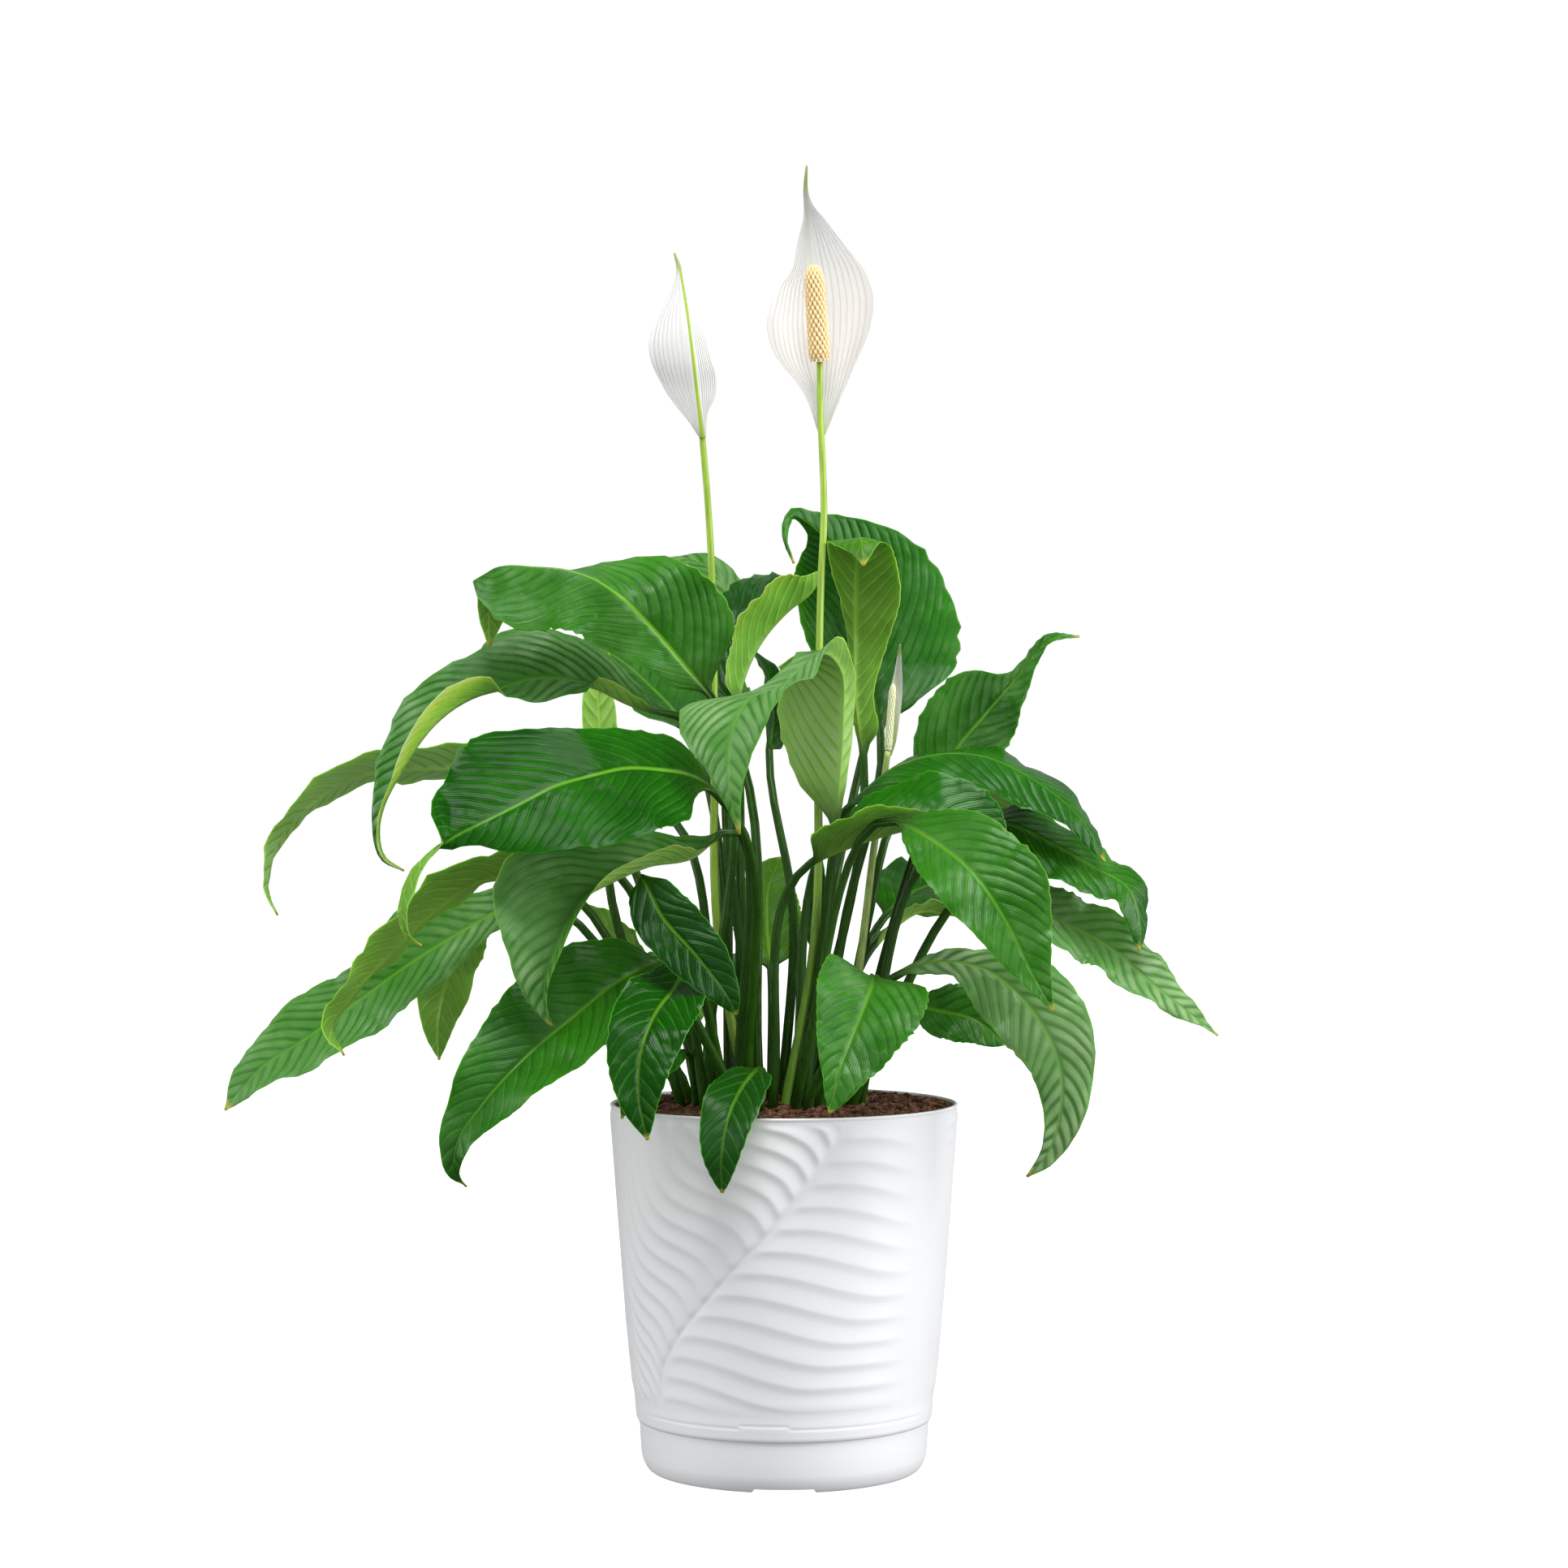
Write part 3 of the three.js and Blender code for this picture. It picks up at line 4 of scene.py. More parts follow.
import bmesh
import bpy
import numpy as np
from mathutils import Euler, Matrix, Vector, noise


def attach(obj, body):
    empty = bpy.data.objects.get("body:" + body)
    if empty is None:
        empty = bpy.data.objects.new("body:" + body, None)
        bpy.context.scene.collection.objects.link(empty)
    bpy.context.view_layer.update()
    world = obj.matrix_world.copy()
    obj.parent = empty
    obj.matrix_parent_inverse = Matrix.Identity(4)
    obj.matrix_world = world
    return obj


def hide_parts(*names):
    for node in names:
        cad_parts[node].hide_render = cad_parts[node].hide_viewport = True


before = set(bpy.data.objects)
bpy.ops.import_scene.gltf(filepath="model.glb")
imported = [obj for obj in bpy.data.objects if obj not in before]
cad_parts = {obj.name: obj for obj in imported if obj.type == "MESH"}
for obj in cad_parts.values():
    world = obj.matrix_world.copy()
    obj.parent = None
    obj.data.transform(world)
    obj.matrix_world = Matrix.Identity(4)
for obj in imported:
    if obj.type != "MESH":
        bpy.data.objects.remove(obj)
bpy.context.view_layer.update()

# A potted peace lily: the looks around the imported part. Tables are in millimetres, Blender in metres.
# A point of a leaf or flower is (across, down, depth). Across and down are sheet units: the photo's own
# grid, 1932 by 1932 from its top left corner, off which the points were read. Depth is in mm behind
# the pot's axis. Sight lines fan out from one eye.

# ---------------------------------------------------------------- sizes, as in the part
POT_HEIGHT = 178
RIM_RADIUS = 85
POT_WALL = 2.2
SKIRT_Z = 25  # lower edge of the pot, where it laps over the saucer
POT_FLOOR_Z = 30
POT_FLOOR = 3
DRAIN_RADIUS = 5
DRAIN_CIRCLE = 38  # the drain holes lie on a circle of this radius
# (height, radius) of the pot's side
POT_PROFILE = ((25, 72.0), (42.5, 73.9), (66, 76.3), (98, 78.9), (145.5, 82.6), (178, 85))
# (height, degrees from the front) of the ornament's main rib
MAIN_RIB = ((25, -58), (37, -54), (56, -50), (72, -41), (92, -27), (110, -15), (124, -5), (147, 8),
            (178, 22))
SAUCER_TOP_Z = 29.7
SAUCER_RADIUS = 70.6
SAUCER_WALL = 2.2
FOOT_RADIUS = 66
PAD_RADIUS = 9  # a small pad under the middle, level with the foot ring
NOTCH_WIDTH = 32
NOTCH_HEIGHT = 2.2
SOIL_Z = 175.4
STEM_RADIUS = 2.6
BLADE_THICK = 1.1
HOLE_PITCH = 10.5  # of the stems' holes along a row
HOLE_ROW = 9.2  # from row to row
CROWN_X = -6  # the middle of the crown
EYE_DISTANCE = 1700
EYE_HEIGHT = 333.3
EYE_MIDDLE = 966  # sheet units, across and down
EYE_UNITS = 4290  # sheet units that are as long as the eye is far


def back_leaf(**facts):
    """A leaf at the back: what these leaves share, and then its own facts."""
    shared = dict(look="mid", back=True, roll=(10, 10), fold=(8, 0), belly=0.4, taper=0.9, wave=(2, 4, 0))
    return {**shared, **facts}


# Each leaf: the hole that its stem stands in, which way it heads where the rib does not say, points up the
# stem and along the rib, half widths right and left of the rib or one width with its belly and taper, and
# by share of the blade from foot to tip, degrees that it rolls, folds and cups, and how its margin waves
# (mm, count, start). Two plain numbers are the values at both ends.
LEAVES = {
    "leaf_01": dict(
        look="mid", hole=(-1, -1), wave=(1.4, 4, 0.5),
        roll=((0, 78), (0.3, 84), (0.62, 76), (0.7, 60), (0.78, 0), (0.87, -62), (1, -75)),
        rib=((876, 858, -18), (846, 823, -26), (800, 770, -34), (762, 733, -40), (730, 712, -43),
            (700, 702, -44), (655, 698, -42), (624, 697, -36), (606, 703, -30), (603, 738, -24),
            (603, 797, -20)),
        right=((0, 2), (0.08, 29), (0.16, 35), (0.25, 36), (0.33, 33), (0.45, 30), (0.6, 22), (0.7, 15),
            (0.8, 15), (0.88, 11), (0.94, 6), (1, 0.5)),
        left=((0, 2), (0.08, 10), (0.16, 14), (0.25, 20), (0.33, 24.5), (0.45, 28), (0.58, 31),
            (0.66, 33), (0.74, 25), (0.82, 8), (0.92, 5), (1, 0.5)),
        cupRight=((0, 0), (0.28, 2), (0.36, -28), (0.44, -62), (0.56, -80), (0.68, -80), (0.8, -30),
            (1, 0)),
        cupLeft=((0, 8), (0.5, 4), (1, 0)),
    ),
    "leaf_02": dict(
        look="deep", hole=(-3, 0), wave=(1.2, 4, 1), roll=((0, 50), (1, 50)),
        rib=((834, 882, 0), (800, 875, -2), (770, 864, -5), (740, 849, -9), (700, 838, -14),
            (650, 838, -20), (619, 848, -24), (585, 858, -27), (558, 873, -29), (530, 898, -31),
            (508, 928, -33), (488, 962, -34), (474, 990, -34), (467, 1022, -33), (474, 1056, -31),
            (498, 1073, -28)),
        right=((0, 2), (0.08, 12), (0.19, 24), (0.3, 31), (0.37, 34), (0.43, 28), (0.48, 24), (0.55, 22),
            (0.61, 23), (0.68, 18), (0.75, 14), (0.81, 7.5), (0.88, 4.5), (0.94, 3), (1, 0.5)),
        left=((0, 2), (0.08, 8), (0.19, 10), (0.28, 11), (0.33, 13), (0.38, 13.5), (0.43, 13), (0.48, 17),
            (0.54, 20), (0.61, 17), (0.68, 11), (0.75, 6), (0.81, 4), (0.88, 3), (0.94, 2.5), (1, 0.5)),
        cupRight=((0, 0), (1, 0)),
        cupLeft=((0, 70), (0.16, 75), (0.26, 10), (0.36, -6), (0.43, 20), (0.5, 78), (1, 80)),
    ),
    "leaf_03": dict(
        look="deep", hole=(-1, -2), wave=(1.2, 4, 0),
        roll=((0, 45), (0.64, 57), (0.71, 98), (0.82, 196), (1, 215)),
        fold=(10, 4), foldTip=(-10, 0), foldLeft=(0, 2), foldLeftTip=(0, 2),
        rib=((882, 978, -48), (850, 956, -54), (812, 949, -62), (773, 947, -70), (730, 956, -80),
            (682, 970, -88), (643, 990, -95), (599, 1012, -102), (552, 1036, -108), (518, 1064, -113),
            (501, 1098, -117), (496, 1130, -118), (503, 1155, -117), (520, 1165, -116)),
        right=((0, 2), (0.075, 16), (0.15, 23), (0.23, 24), (0.31, 27), (0.41, 36), (0.49, 43),
            (0.55, 41), (0.61, 33), (0.68, 22), (0.74, 9), (0.8, 5), (0.86, 5), (0.93, 3.5), (1, 0.5)),
        left=((0, 2), (0.075, 22), (0.15, 34), (0.23, 40), (0.31, 41), (0.41, 41), (0.5, 34), (0.6, 20),
            (0.68, 6), (0.75, 3.5), (0.85, 3), (0.92, 2.5), (1, 0.5)),
    ),
    "leaf_04": dict(
        look="mid", hole=(-3, 1), width=31, belly=0.26, taper=1.1, wave=(1.6, 5, 0), roll=(-40, -20),
        fold=(10, 0),
        rib=((640, 928, 28), (560, 945, 30), (490, 948, 32), (430, 960, 34), (384, 991, 36),
            (346, 1030, 38), (332, 1066, 40), (329, 1100, 40), (342, 1128, 40)),
    ),
    "leaf_05": dict(
        look="mid", hole=(-4, 0), wave=(2, 4.5, 0), roll=(50, 44), fold=(8, 0),
        rib=((660, 1095, 4), (600, 1130, 0), (502, 1190, -4), (440, 1235, -6), (380, 1278, -10),
            (320, 1318, -14), (277, 1368, -16)),
        right=((0, 2), (0.1, 12), (0.2, 22), (0.29, 32), (0.36, 30), (0.43, 23), (0.5, 16), (0.56, 20),
            (0.63, 23.5), (0.71, 22), (0.81, 17), (0.91, 10.5), (1, 0.5)),
        left=((0, 2), (0.1, 9), (0.2, 15), (0.3, 21), (0.4, 24), (0.5, 25), (0.6, 24.5), (0.71, 22),
            (0.81, 17), (0.91, 10.5), (1, 0.5)),
    ),
    "leaf_06": dict(
        look="pale", hole=(-3, -1), width=38, belly=0.45, taper=1.0, wave=(2, 4, 2), roll=(-35, -40),
        fold=(14, 0),
        rib=((700, 1052, -22), (652, 1068, -30), (585, 1086, -38), (530, 1125, -46), (480, 1175, -54),
            (430, 1230, -60), (407, 1265, -62), (424, 1301, -62)),
    ),
    "leaf_07": dict(
        look="deep", hole=(-4, 1), width=34, belly=0.4, taper=0.9, wave=(2, 4, 0), roll=(-30, -75),
        fold=(10, 0),
        rib=((640, 1112, 30), (590, 1130, 34), (560, 1172, 38), (548, 1220, 40), (540, 1265, 40),
            (541, 1306, 38)),
    ),
    "leaf_08": dict(
        look="mid", hole=(-2, -1), wave=(1.4, 4, 0), roll=((0, 45), (0.45, 46), (0.65, 58), (1, 60)),
        fold=(4, 8),
        rib=((890, 1026, -34), (855, 1055, -44), (800, 1066, -56), (757, 1085, -66), (724, 1104, -76),
            (703, 1132, -84), (685, 1172, -90), (671, 1217, -92), (672, 1243, -91), (681, 1265, -90)),
        right=((0, 2), (0.13, 13), (0.29, 22), (0.42, 27), (0.52, 34), (0.6, 40), (0.66, 39), (0.74, 31),
            (0.87, 13), (0.94, 5), (1, 0.5)),
        left=((0, 2), (0.13, 11), (0.29, 17), (0.42, 17), (0.53, 14), (0.62, 11), (0.74, 8), (0.87, 4),
            (1, 0.5)),
        cupLeft=((0, 60), (0.3, 72), (0.5, 75), (1, 60)),
    ),
    "leaf_09": dict(
        look="mid", hole=(-3, -2), width=60, belly=0.36, taper=1.2, wave=(2.2, 4.5, 1), roll=(50, 45),
        fold=(14, 4), foldLeft=(26, 4),
        rib=((820, 1185, -36), (762, 1210, -52), (705, 1255, -70), (648, 1303, -86), (594, 1362, -98),
            (563, 1410, -104), (560, 1446, -104), (575, 1462, -100)),
    ),
    "leaf_10": dict(
        look="mid", hole=(-2, -2), width=38, belly=0.42, taper=0.9, wave=(2, 4, 0), roll=(20, 20),
        fold=(12, 0),
        rib=((848, 1195, -56), (828, 1222, -78), (803, 1258, -100), (789, 1300, -112), (787, 1350, -116),
            (798, 1405, -116)),
    ),
    "leaf_11": dict(
        look="deep", hole=(-2, -3), head=(1, -0.3), width=31, belly=0.4, taper=0.8, wave=(1.2, 3, 0),
        roll=(60, 60), fold=(10, 0), stem=((812, 1160, -52), (788, 1090, -60)),
        rib=((791, 1082, -68), (816, 1130, -76), (860, 1180, -80), (899, 1232, -78), (908, 1250, -76)),
    ),
    "leaf_12": dict(
        look="mid", hole=(-1, -3), width=28, belly=0.4, taper=0.8, thick=2.2, wave=(1, 3, 0),
        roll=(10, 15), fold=(12, 0),
        rib=((936, 1318, -62), (915, 1340, -80), (897, 1380, -96), (889, 1425, -101), (890, 1470, -99)),
    ),
    "leaf_13": dict(
        look="mid", hole=(1, -3), wave=(1.4, 3.5, 0), roll=(15, 20), fold=(38, 6), foldTip=(8, 6),
        foldLeft=(8, 6),
        rib=((1078, 1204, -64), (1062, 1248, -84), (1045, 1290, -98), (1030, 1332, -106),
            (1022, 1372, -108)),
        right=((0, 3.5), (0.09, 25), (0.19, 27), (0.3, 26), (0.4, 23), (0.5, 19.5), (0.6, 16),
            (0.71, 11.5), (0.81, 6.5), (0.91, 3.5), (1, 0.5)),
        left=((0, 3.5), (0.09, 26), (0.19, 29.5), (0.3, 30), (0.4, 28.5), (0.5, 26.5), (0.6, 23),
            (0.71, 18), (0.81, 13), (0.91, 7.5), (1, 0.5)),
    ),
    "leaf_14": dict(
        look="mid", hole=(2, -1), width=30, belly=0.45, taper=0.75, thick=2, wave=(1, 3, 0),
        roll=(65, 60), fold=(8, 0),
        rib=((1128, 1240, -14), (1160, 1246, -20), (1200, 1256, -26), (1240, 1287, -30)),
    ),
    "leaf_15": dict(
        look="mid", hole=(2, -2), wave=(2.2, 5, 0), roll=(50, 60), fold=(8, 0),
        rib=((1100, 1205, -34), (1150, 1186, -46), (1210, 1193, -58), (1268, 1240, -68),
            (1305, 1310, -74), (1305, 1380, -76), (1288, 1425, -75), (1265, 1450, -73)),
        right=((0, 2), (0.1, 6), (0.2, 8), (0.3, 16), (0.41, 21.5), (0.5, 21), (0.6, 17.5), (0.7, 13),
            (0.8, 8), (0.9, 4), (1, 0.5)),
        left=((0, 2), (0.1, 5), (0.2, 6), (0.3, 12), (0.41, 20), (0.5, 22.5), (0.6, 20), (0.7, 15),
            (0.8, 11), (0.9, 6.5), (1, 0.5)),
    ),
    "leaf_16": dict(
        look="mid", hole=(1, -2), wave=(1.6, 3.5, 0), roll=(50, 50), fold=(8, 4),
        rib=((1105, 1012, -61), (1150, 1036, -77), (1197, 1074, -94), (1240, 1136, -106),
            (1272, 1200, -112), (1298, 1246, -114)),
        right=((0, 2), (0.1, 9), (0.2, 15), (0.3, 19.5), (0.41, 21), (0.5, 20.5), (0.6, 18), (0.7, 14.5),
            (0.8, 10), (0.9, 5), (1, 0.5)),
        left=((0, 2), (0.1, 13), (0.2, 20), (0.3, 24), (0.4, 26), (0.5, 27.5), (0.57, 27), (0.66, 22),
            (0.76, 15.5), (0.86, 9), (1, 0.5)),
    ),
    "leaf_17": dict(
        look="deep", hole=(0, -2), width=58, belly=0.5, taper=0.66, wave=(1.4, 3, 0), roll=(-10, 42),
        fold=(33, 8),
        rib=((1000, 1062, -25), (1050, 1040, -34), (1120, 1020, -38), (1180, 1014, -38),
            (1240, 1036, -36)),
    ),
    "leaf_18": dict(
        look="deep", hole=(1, 0), wave=(1.8, 4, 0), roll=(20, 26), fold=(-14, -6),
        rib=((1040, 1000, 8), (1110, 942, -2), (1200, 930, -9), (1280, 965, -15), (1332, 1010, -19),
            (1362, 1062, -21)),
        right=((0, 2), (0.1, 14.5), (0.2, 21), (0.3, 24), (0.4, 25), (0.5, 24), (0.6, 22), (0.7, 18),
            (0.8, 13.5), (0.9, 7.5), (1, 0.5)),
        left=((0, 2), (0.1, 14.5), (0.2, 21), (0.3, 26), (0.4, 29), (0.5, 31), (0.6, 31), (0.7, 28),
            (0.8, 22), (0.9, 13), (1, 0.5)),
    ),
    "leaf_19": dict(
        look="mid", hole=(4, 0), width=42, belly=0.35, taper=0.8, wave=(1.8, 4, 0), roll=(35, 30),
        fold=(-8, 0),
        rib=((1180, 1030, 6), (1237, 1015, 0), (1300, 1042, -6), (1350, 1070, -12), (1390, 1095, -18),
            (1403, 1135, -22), (1404, 1172, -23)),
    ),
    "leaf_20": dict(
        look="mid", hole=(3, -1), width=36, belly=0.36, taper=1.1, wave=(2, 4.5, 0), roll=(45, 45),
        fold=(8, 0),
        rib=((1240, 1090, 2), (1300, 1131, -6), (1362, 1164, -6), (1420, 1213, -16), (1501, 1276, -24)),
    ),
    "leaf_21": dict(
        look="mid", hole=(3, 1), wave=(1, 3.5, 0), roll=(80, 60), fold=(8, 0),
        rib=((1152, 985, 36), (1178, 925, 38), (1215, 880, 35), (1247, 842, 27), (1277, 803, 18),
            (1292, 788, 13), (1330, 784, 10)),
        right=((0, 2), (0.1, 16), (0.23, 26), (0.44, 23), (0.62, 15), (0.79, 4.5), (0.87, 3), (1, 0.5)),
        left=((0, 2), (0.1, 16), (0.23, 25), (0.44, 28), (0.52, 20), (0.62, 6), (0.79, 3.5), (0.87, 3),
            (1, 0.5)),
    ),
    "leaf_22": dict(
        look="deep", hole=(2, 2), head=(-1, 0), wave=(1.6, 4, 0), roll=(86, 60), fold=(4, 0),
        foldLeft=(-66, -8), foldLeftTip=(-60, 0), stem=((1042, 1130, 34),),
        rib=((1085, 905, 52), (1072, 845, 62), (1062, 780, 66), (1048, 722, 62), (1025, 676, 52),
            (998, 647, 42), (977, 635, 36), (967, 656, 30), (978, 694, 27)),
        right=((0, 2), (0.08, 22), (0.2, 45), (0.33, 50), (0.45, 47), (0.55, 36), (0.65, 20), (0.75, 8),
            (0.85, 2.5), (0.95, 1.5), (1, 0.5)),
        left=((0, 2), (0.1, 24), (0.25, 42), (0.38, 46), (0.5, 40), (0.6, 25), (0.7, 9.5), (0.78, 3),
            (0.9, 1.5), (1, 0.5)),
    ),
    "leaf_23": dict(
        look="pale", hole=(1, 1), head=(-0.3, -1), wave=(1, 3, 0), roll=(0, 0), fold=(35, 10),
        foldTip=(-18, -8),
        rib=((1064, 935, 28), (1055, 860, 32), (1053, 795, 32), (1055, 738, 28), (1057, 694, 18),
            (1059, 664, 4), (1062, 668, -10), (1064, 697, -16)),
        right=((0, 2), (0.12, 4), (0.21, 3), (0.39, 4), (0.55, 9), (0.7, 15), (0.82, 15), (0.92, 8),
            (1, 0.5)),
        left=((0, 2), (0.1, 10), (0.21, 9), (0.39, 16), (0.55, 22), (0.7, 20), (0.82, 16), (0.92, 8),
            (1, 0.5)),
    ),
    "leaf_24": dict(
        look="mid", hole=(1, -1), head=(-0.3, -1), wave=(1.4, 4, 0), roll=(0, 0), fold=(10, 0),
        foldTip=(-14, -10), foldLeft=(75, 8), foldLeftTip=(-10, 0),
        rib=((1028, 1032, -6), (1036, 960, -10), (1040, 890, -14), (1038, 826, -24), (1016, 802, -42),
            (965, 844, -62), (920, 866, -80), (901, 905, -92), (898, 967, -100), (911, 1028, -102)),
        right=((0, 2), (0.1, 22), (0.25, 34), (0.38, 31), (0.46, 16), (0.53, 8), (0.6, 10), (0.66, 26),
            (0.72, 35), (0.79, 27), (0.87, 11), (0.94, 4), (1, 0.5)),
        left=((0, 2), (0.1, 5), (0.25, 6), (0.4, 8), (0.5, 13), (0.6, 21), (0.7, 21), (0.8, 15), (0.9, 7),
            (1, 0.5)),
    ),
    "leaf_25": dict(
        look="mid", hole=(-1, 1), wave=(1.2, 3, 0), roll=(0, 0), fold=(62, 10), foldLeft=(48, 10),
        rib=((905, 872, 30), (918, 825, 36), (940, 785, 42), (970, 752, 46), (1000, 728, 48),
            (1014, 702, 50)),
        right=((0, 2), (0.15, 12), (0.4, 19), (0.65, 20), (0.85, 14), (1, 0.5)),
        left=((0, 2), (0.15, 18), (0.35, 31), (0.55, 32), (0.75, 21), (0.9, 8), (1, 0.5)),
    ),
    "leaf_26": dict(
        look="mid", hole=(-2, 3), width=24, belly=0.4, taper=0.8, wave=(0.8, 3, 0), roll=(30, 20),
        fold=(6, 0),
        rib=((905, 810, 70), (900, 750, 80), (878, 704, 88), (850, 689, 92), (820, 688, 96)),
    ),
    "leaf_27": dict(
        look="deep", hole=(0, 3), width=28, belly=0.4, taper=0.8, wave=(0.8, 3, 0), roll=(-40, -30),
        fold=(10, 0), stem=((978, 1130, 40),),
        rib=((948, 925, 74), (952, 875, 86), (942, 822, 92), (920, 795, 94)),
    ),
    "leaf_28": dict(
        look="pale", hole=(-4, 2), head=(0, -1), width=18, belly=0.5, taper=0.8, wave=(0.8, 3, 0),
        roll=(0, 0), fold=(14, 0), stem=((752, 1100, 34),),
        rib=((744, 985, 40), (742, 930, 44), (738, 880, 50), (737, 840, 56), (750, 806, 66)),
    ),
    "leaf_29": dict(
        look="pale", hole=(2, 1), width=28, belly=0.42, taper=0.8, wave=(1, 3, 0), roll=(-30, -20),
        fold=(8, 0),
        rib=((1074, 1168, 34), (1100, 1142, 48), (1136, 1122, 60), (1178, 1128, 67)),
    ),
    "leaf_30": dict(
        look="pale", hole=(0, 2), width=36, belly=0.42, taper=0.7, wave=(1, 3, 0), roll=(10, 10),
        fold=(10, 0),
        rib=((950, 1195, 42), (945, 1140, 58), (948, 1090, 70), (962, 1056, 76)),
    ),
    "leaf_31": dict(
        look="deep", hole=(0, 1), head=(1, 0), width=14, belly=0.42, taper=0.7, thick=2.2,
        wave=(0.6, 2, 0), roll=(70, 70), fold=(30, 10),
        rib=((1012, 1190, 20), (1008, 1130, 22), (1010, 1090, 22), (1012, 1056, 22)),
    ),
    "leaf_32": dict(
        look="mid", hole=(-4, -1), width=15, belly=0.42, taper=0.8, thick=1.8, wave=(0.6, 2, 0),
        roll=(30, 30), fold=(6, 0),
        rib=((845, 1296, -26), (815, 1312, -42), (782, 1338, -58), (766, 1378, -66)),
    ),
    "leaf_34": dict(
        look="pale", hole=(-3, 2), width=22, belly=0.42, taper=0.8, thick=2, wave=(0.8, 3, 0),
        roll=(-50, -50), fold=(8, 0),
        rib=((800, 1190, 34), (768, 1158, 42), (738, 1132, 48), (711, 1112, 52)),
    ),
    "leaf_35": back_leaf(
        hole=(-2, 1), width=60, fold=(10, 0),
        rib=((850, 905, 60), (805, 850, 100), (745, 803, 132), (700, 797, 156), (676, 822, 170),
            (668, 850, 176)),
    ),
    "leaf_36": back_leaf(
        look="deep", hole=(-3, 3), width=62, wave=(2, 4, 1),
        rib=((830, 1010, 50), (765, 972, 84), (700, 962, 116), (650, 985, 138), (625, 1025, 150),
            (618, 1050, 154)),
    ),
    "leaf_37": back_leaf(
        hole=(-2, 2), width=48, wave=(1.6, 4, 0), roll=(0, 0), fold=(10, 0),
        rib=((885, 905, 80), (870, 860, 120), (856, 838, 152), (846, 850, 176), (842, 885, 190)),
    ),
    "leaf_38": back_leaf(
        look="deep", hole=(1, 2), width=58, roll=(0, 0), fold=(10, 0), stem=((1030, 1080, 56),),
        rib=((1070, 905, 88), (1096, 820, 116), (1114, 765, 144), (1124, 755, 168), (1130, 790, 188)),
    ),
    "leaf_39": back_leaf(
        hole=(3, 2), width=58, stem=((1070, 1130, 54),),
        rib=((1100, 1012, 66), (1146, 970, 98), (1194, 965, 130), (1226, 1000, 152), (1238, 1050, 162)),
    ),
    "leaf_40": back_leaf(
        hole=(2, 3), width=50, wave=(2, 4, 2), roll=(20, 20),
        rib=((1090, 1130, 72), (1135, 1095, 100), (1180, 1090, 126), (1215, 1125, 144),
            (1228, 1165, 150)),
    ),
    "leaf_41": back_leaf(
        hole=(-4, 3), width=54,
        rib=((818, 1195, 46), (762, 1198, 80), (705, 1225, 110), (665, 1272, 128), (645, 1318, 136)),
    ),
    "leaf_42": back_leaf(
        hole=(1, 3), width=44, wave=(1.6, 4, 0), roll=(0, 0),
        rib=((1038, 1250, 56), (1058, 1225, 86), (1074, 1235, 112), (1082, 1275, 132), (1084, 1310, 140)),
    ),
    "leaf_33": back_leaf(
        hole=(-1, 3), width=42, wave=(1.6, 4, 0), roll=(0, 0),
        rib=((905, 1205, 64), (885, 1180, 96), (868, 1190, 124), (860, 1228, 146), (858, 1265, 156)),
    ),
}

FLOWERS = {
    "flower_1": dict(
        hole=(0, -1), head=(0, 1), fold=(16, 16), spadixRadius=5.4,
        stalk=((1003, 1160, -2), (1008, 900, 10), (1012, 700, 12), (1015, 640, 12), (1013, 560, 11),
            (1011, 520, 10), (1010, 446, 6)),
        spadix=((1010, 445, 5.9), (1002, 326, 0)),
        spathe=((1013, 536, 12.8), (1010, 500, 15.4), (1004, 440, 24), (1000, 380, 28), (998, 320, 26),
            (996, 270, 20), (992, 232, 12), (994, 204, 8)),
        right=((0, 1.5), (0.1, 9), (0.2, 18), (0.28, 25), (0.4, 32), (0.49, 34), (0.59, 31), (0.69, 22),
            (0.79, 11), (0.88, 2.6), (1, 0.5)),
        left=((0, 1.5), (0.14, 7), (0.2, 12), (0.26, 19), (0.34, 24), (0.42, 25), (0.47, 23), (0.55, 19),
            (0.635, 10), (0.72, 7), (0.82, 2.4), (1, 0.5)),
    ),
    "flower_2": dict(
        hole=(-1, 0), head=(0, -1), fold=(16, 16), spadixRadius=4.2,
        stalk=((885, 1160, 14), (880, 900, 22), (878, 735, 22), (872, 620, 22), (867, 560, 20),
            (864, 525, 19), (862, 500, 20)),
        spadix=((861.8, 499.1, 20), (850, 395, 25)),
        spathe=((866, 540, 18), (859, 483, 12.6), (855, 447, 8), (848, 393, 6), (841, 350, 8),
            (837, 328, 10), (831, 312, 12)),
        right=((0, 1.5), (0.09, 6), (0.19, 13), (0.28, 19), (0.4, 23), (0.52, 23.5), (0.62, 20),
            (0.75, 11), (0.9, 2.2), (1, 0.5)),
        left=((0, 1.5), (0.12, 4), (0.23, 10), (0.3, 11), (0.43, 9.5), (0.58, 7), (0.67, 3.6),
            (0.83, 1.6), (1, 0.5)),
    ),
    "flower_3": dict(
        hole=(3, 0), head=(0, 1), fold=(20, 30), spadixRadius=2,
        stalk=((1060, 1180, 14), (1080, 1020, 24), (1089, 960, 26), (1094, 925, 24)),
        spadix=((1094.2, 924, 24), (1100.5, 842, 21)),
        spathe=((1094.6, 931, 26.7), (1098.5, 895, 27.8), (1103.5, 850, 26.2), (1107, 815, 21.5),
            (1109, 794, 18)),
        right=((0, 1.5), (0.12, 3.2), (0.35, 4.4), (0.6, 4), (0.85, 1.8), (1, 0.5)),
        left=((0, 1.5), (0.12, 2.8), (0.35, 3.4), (0.6, 3), (0.85, 1.4), (1, 0.5)),
    ),
}

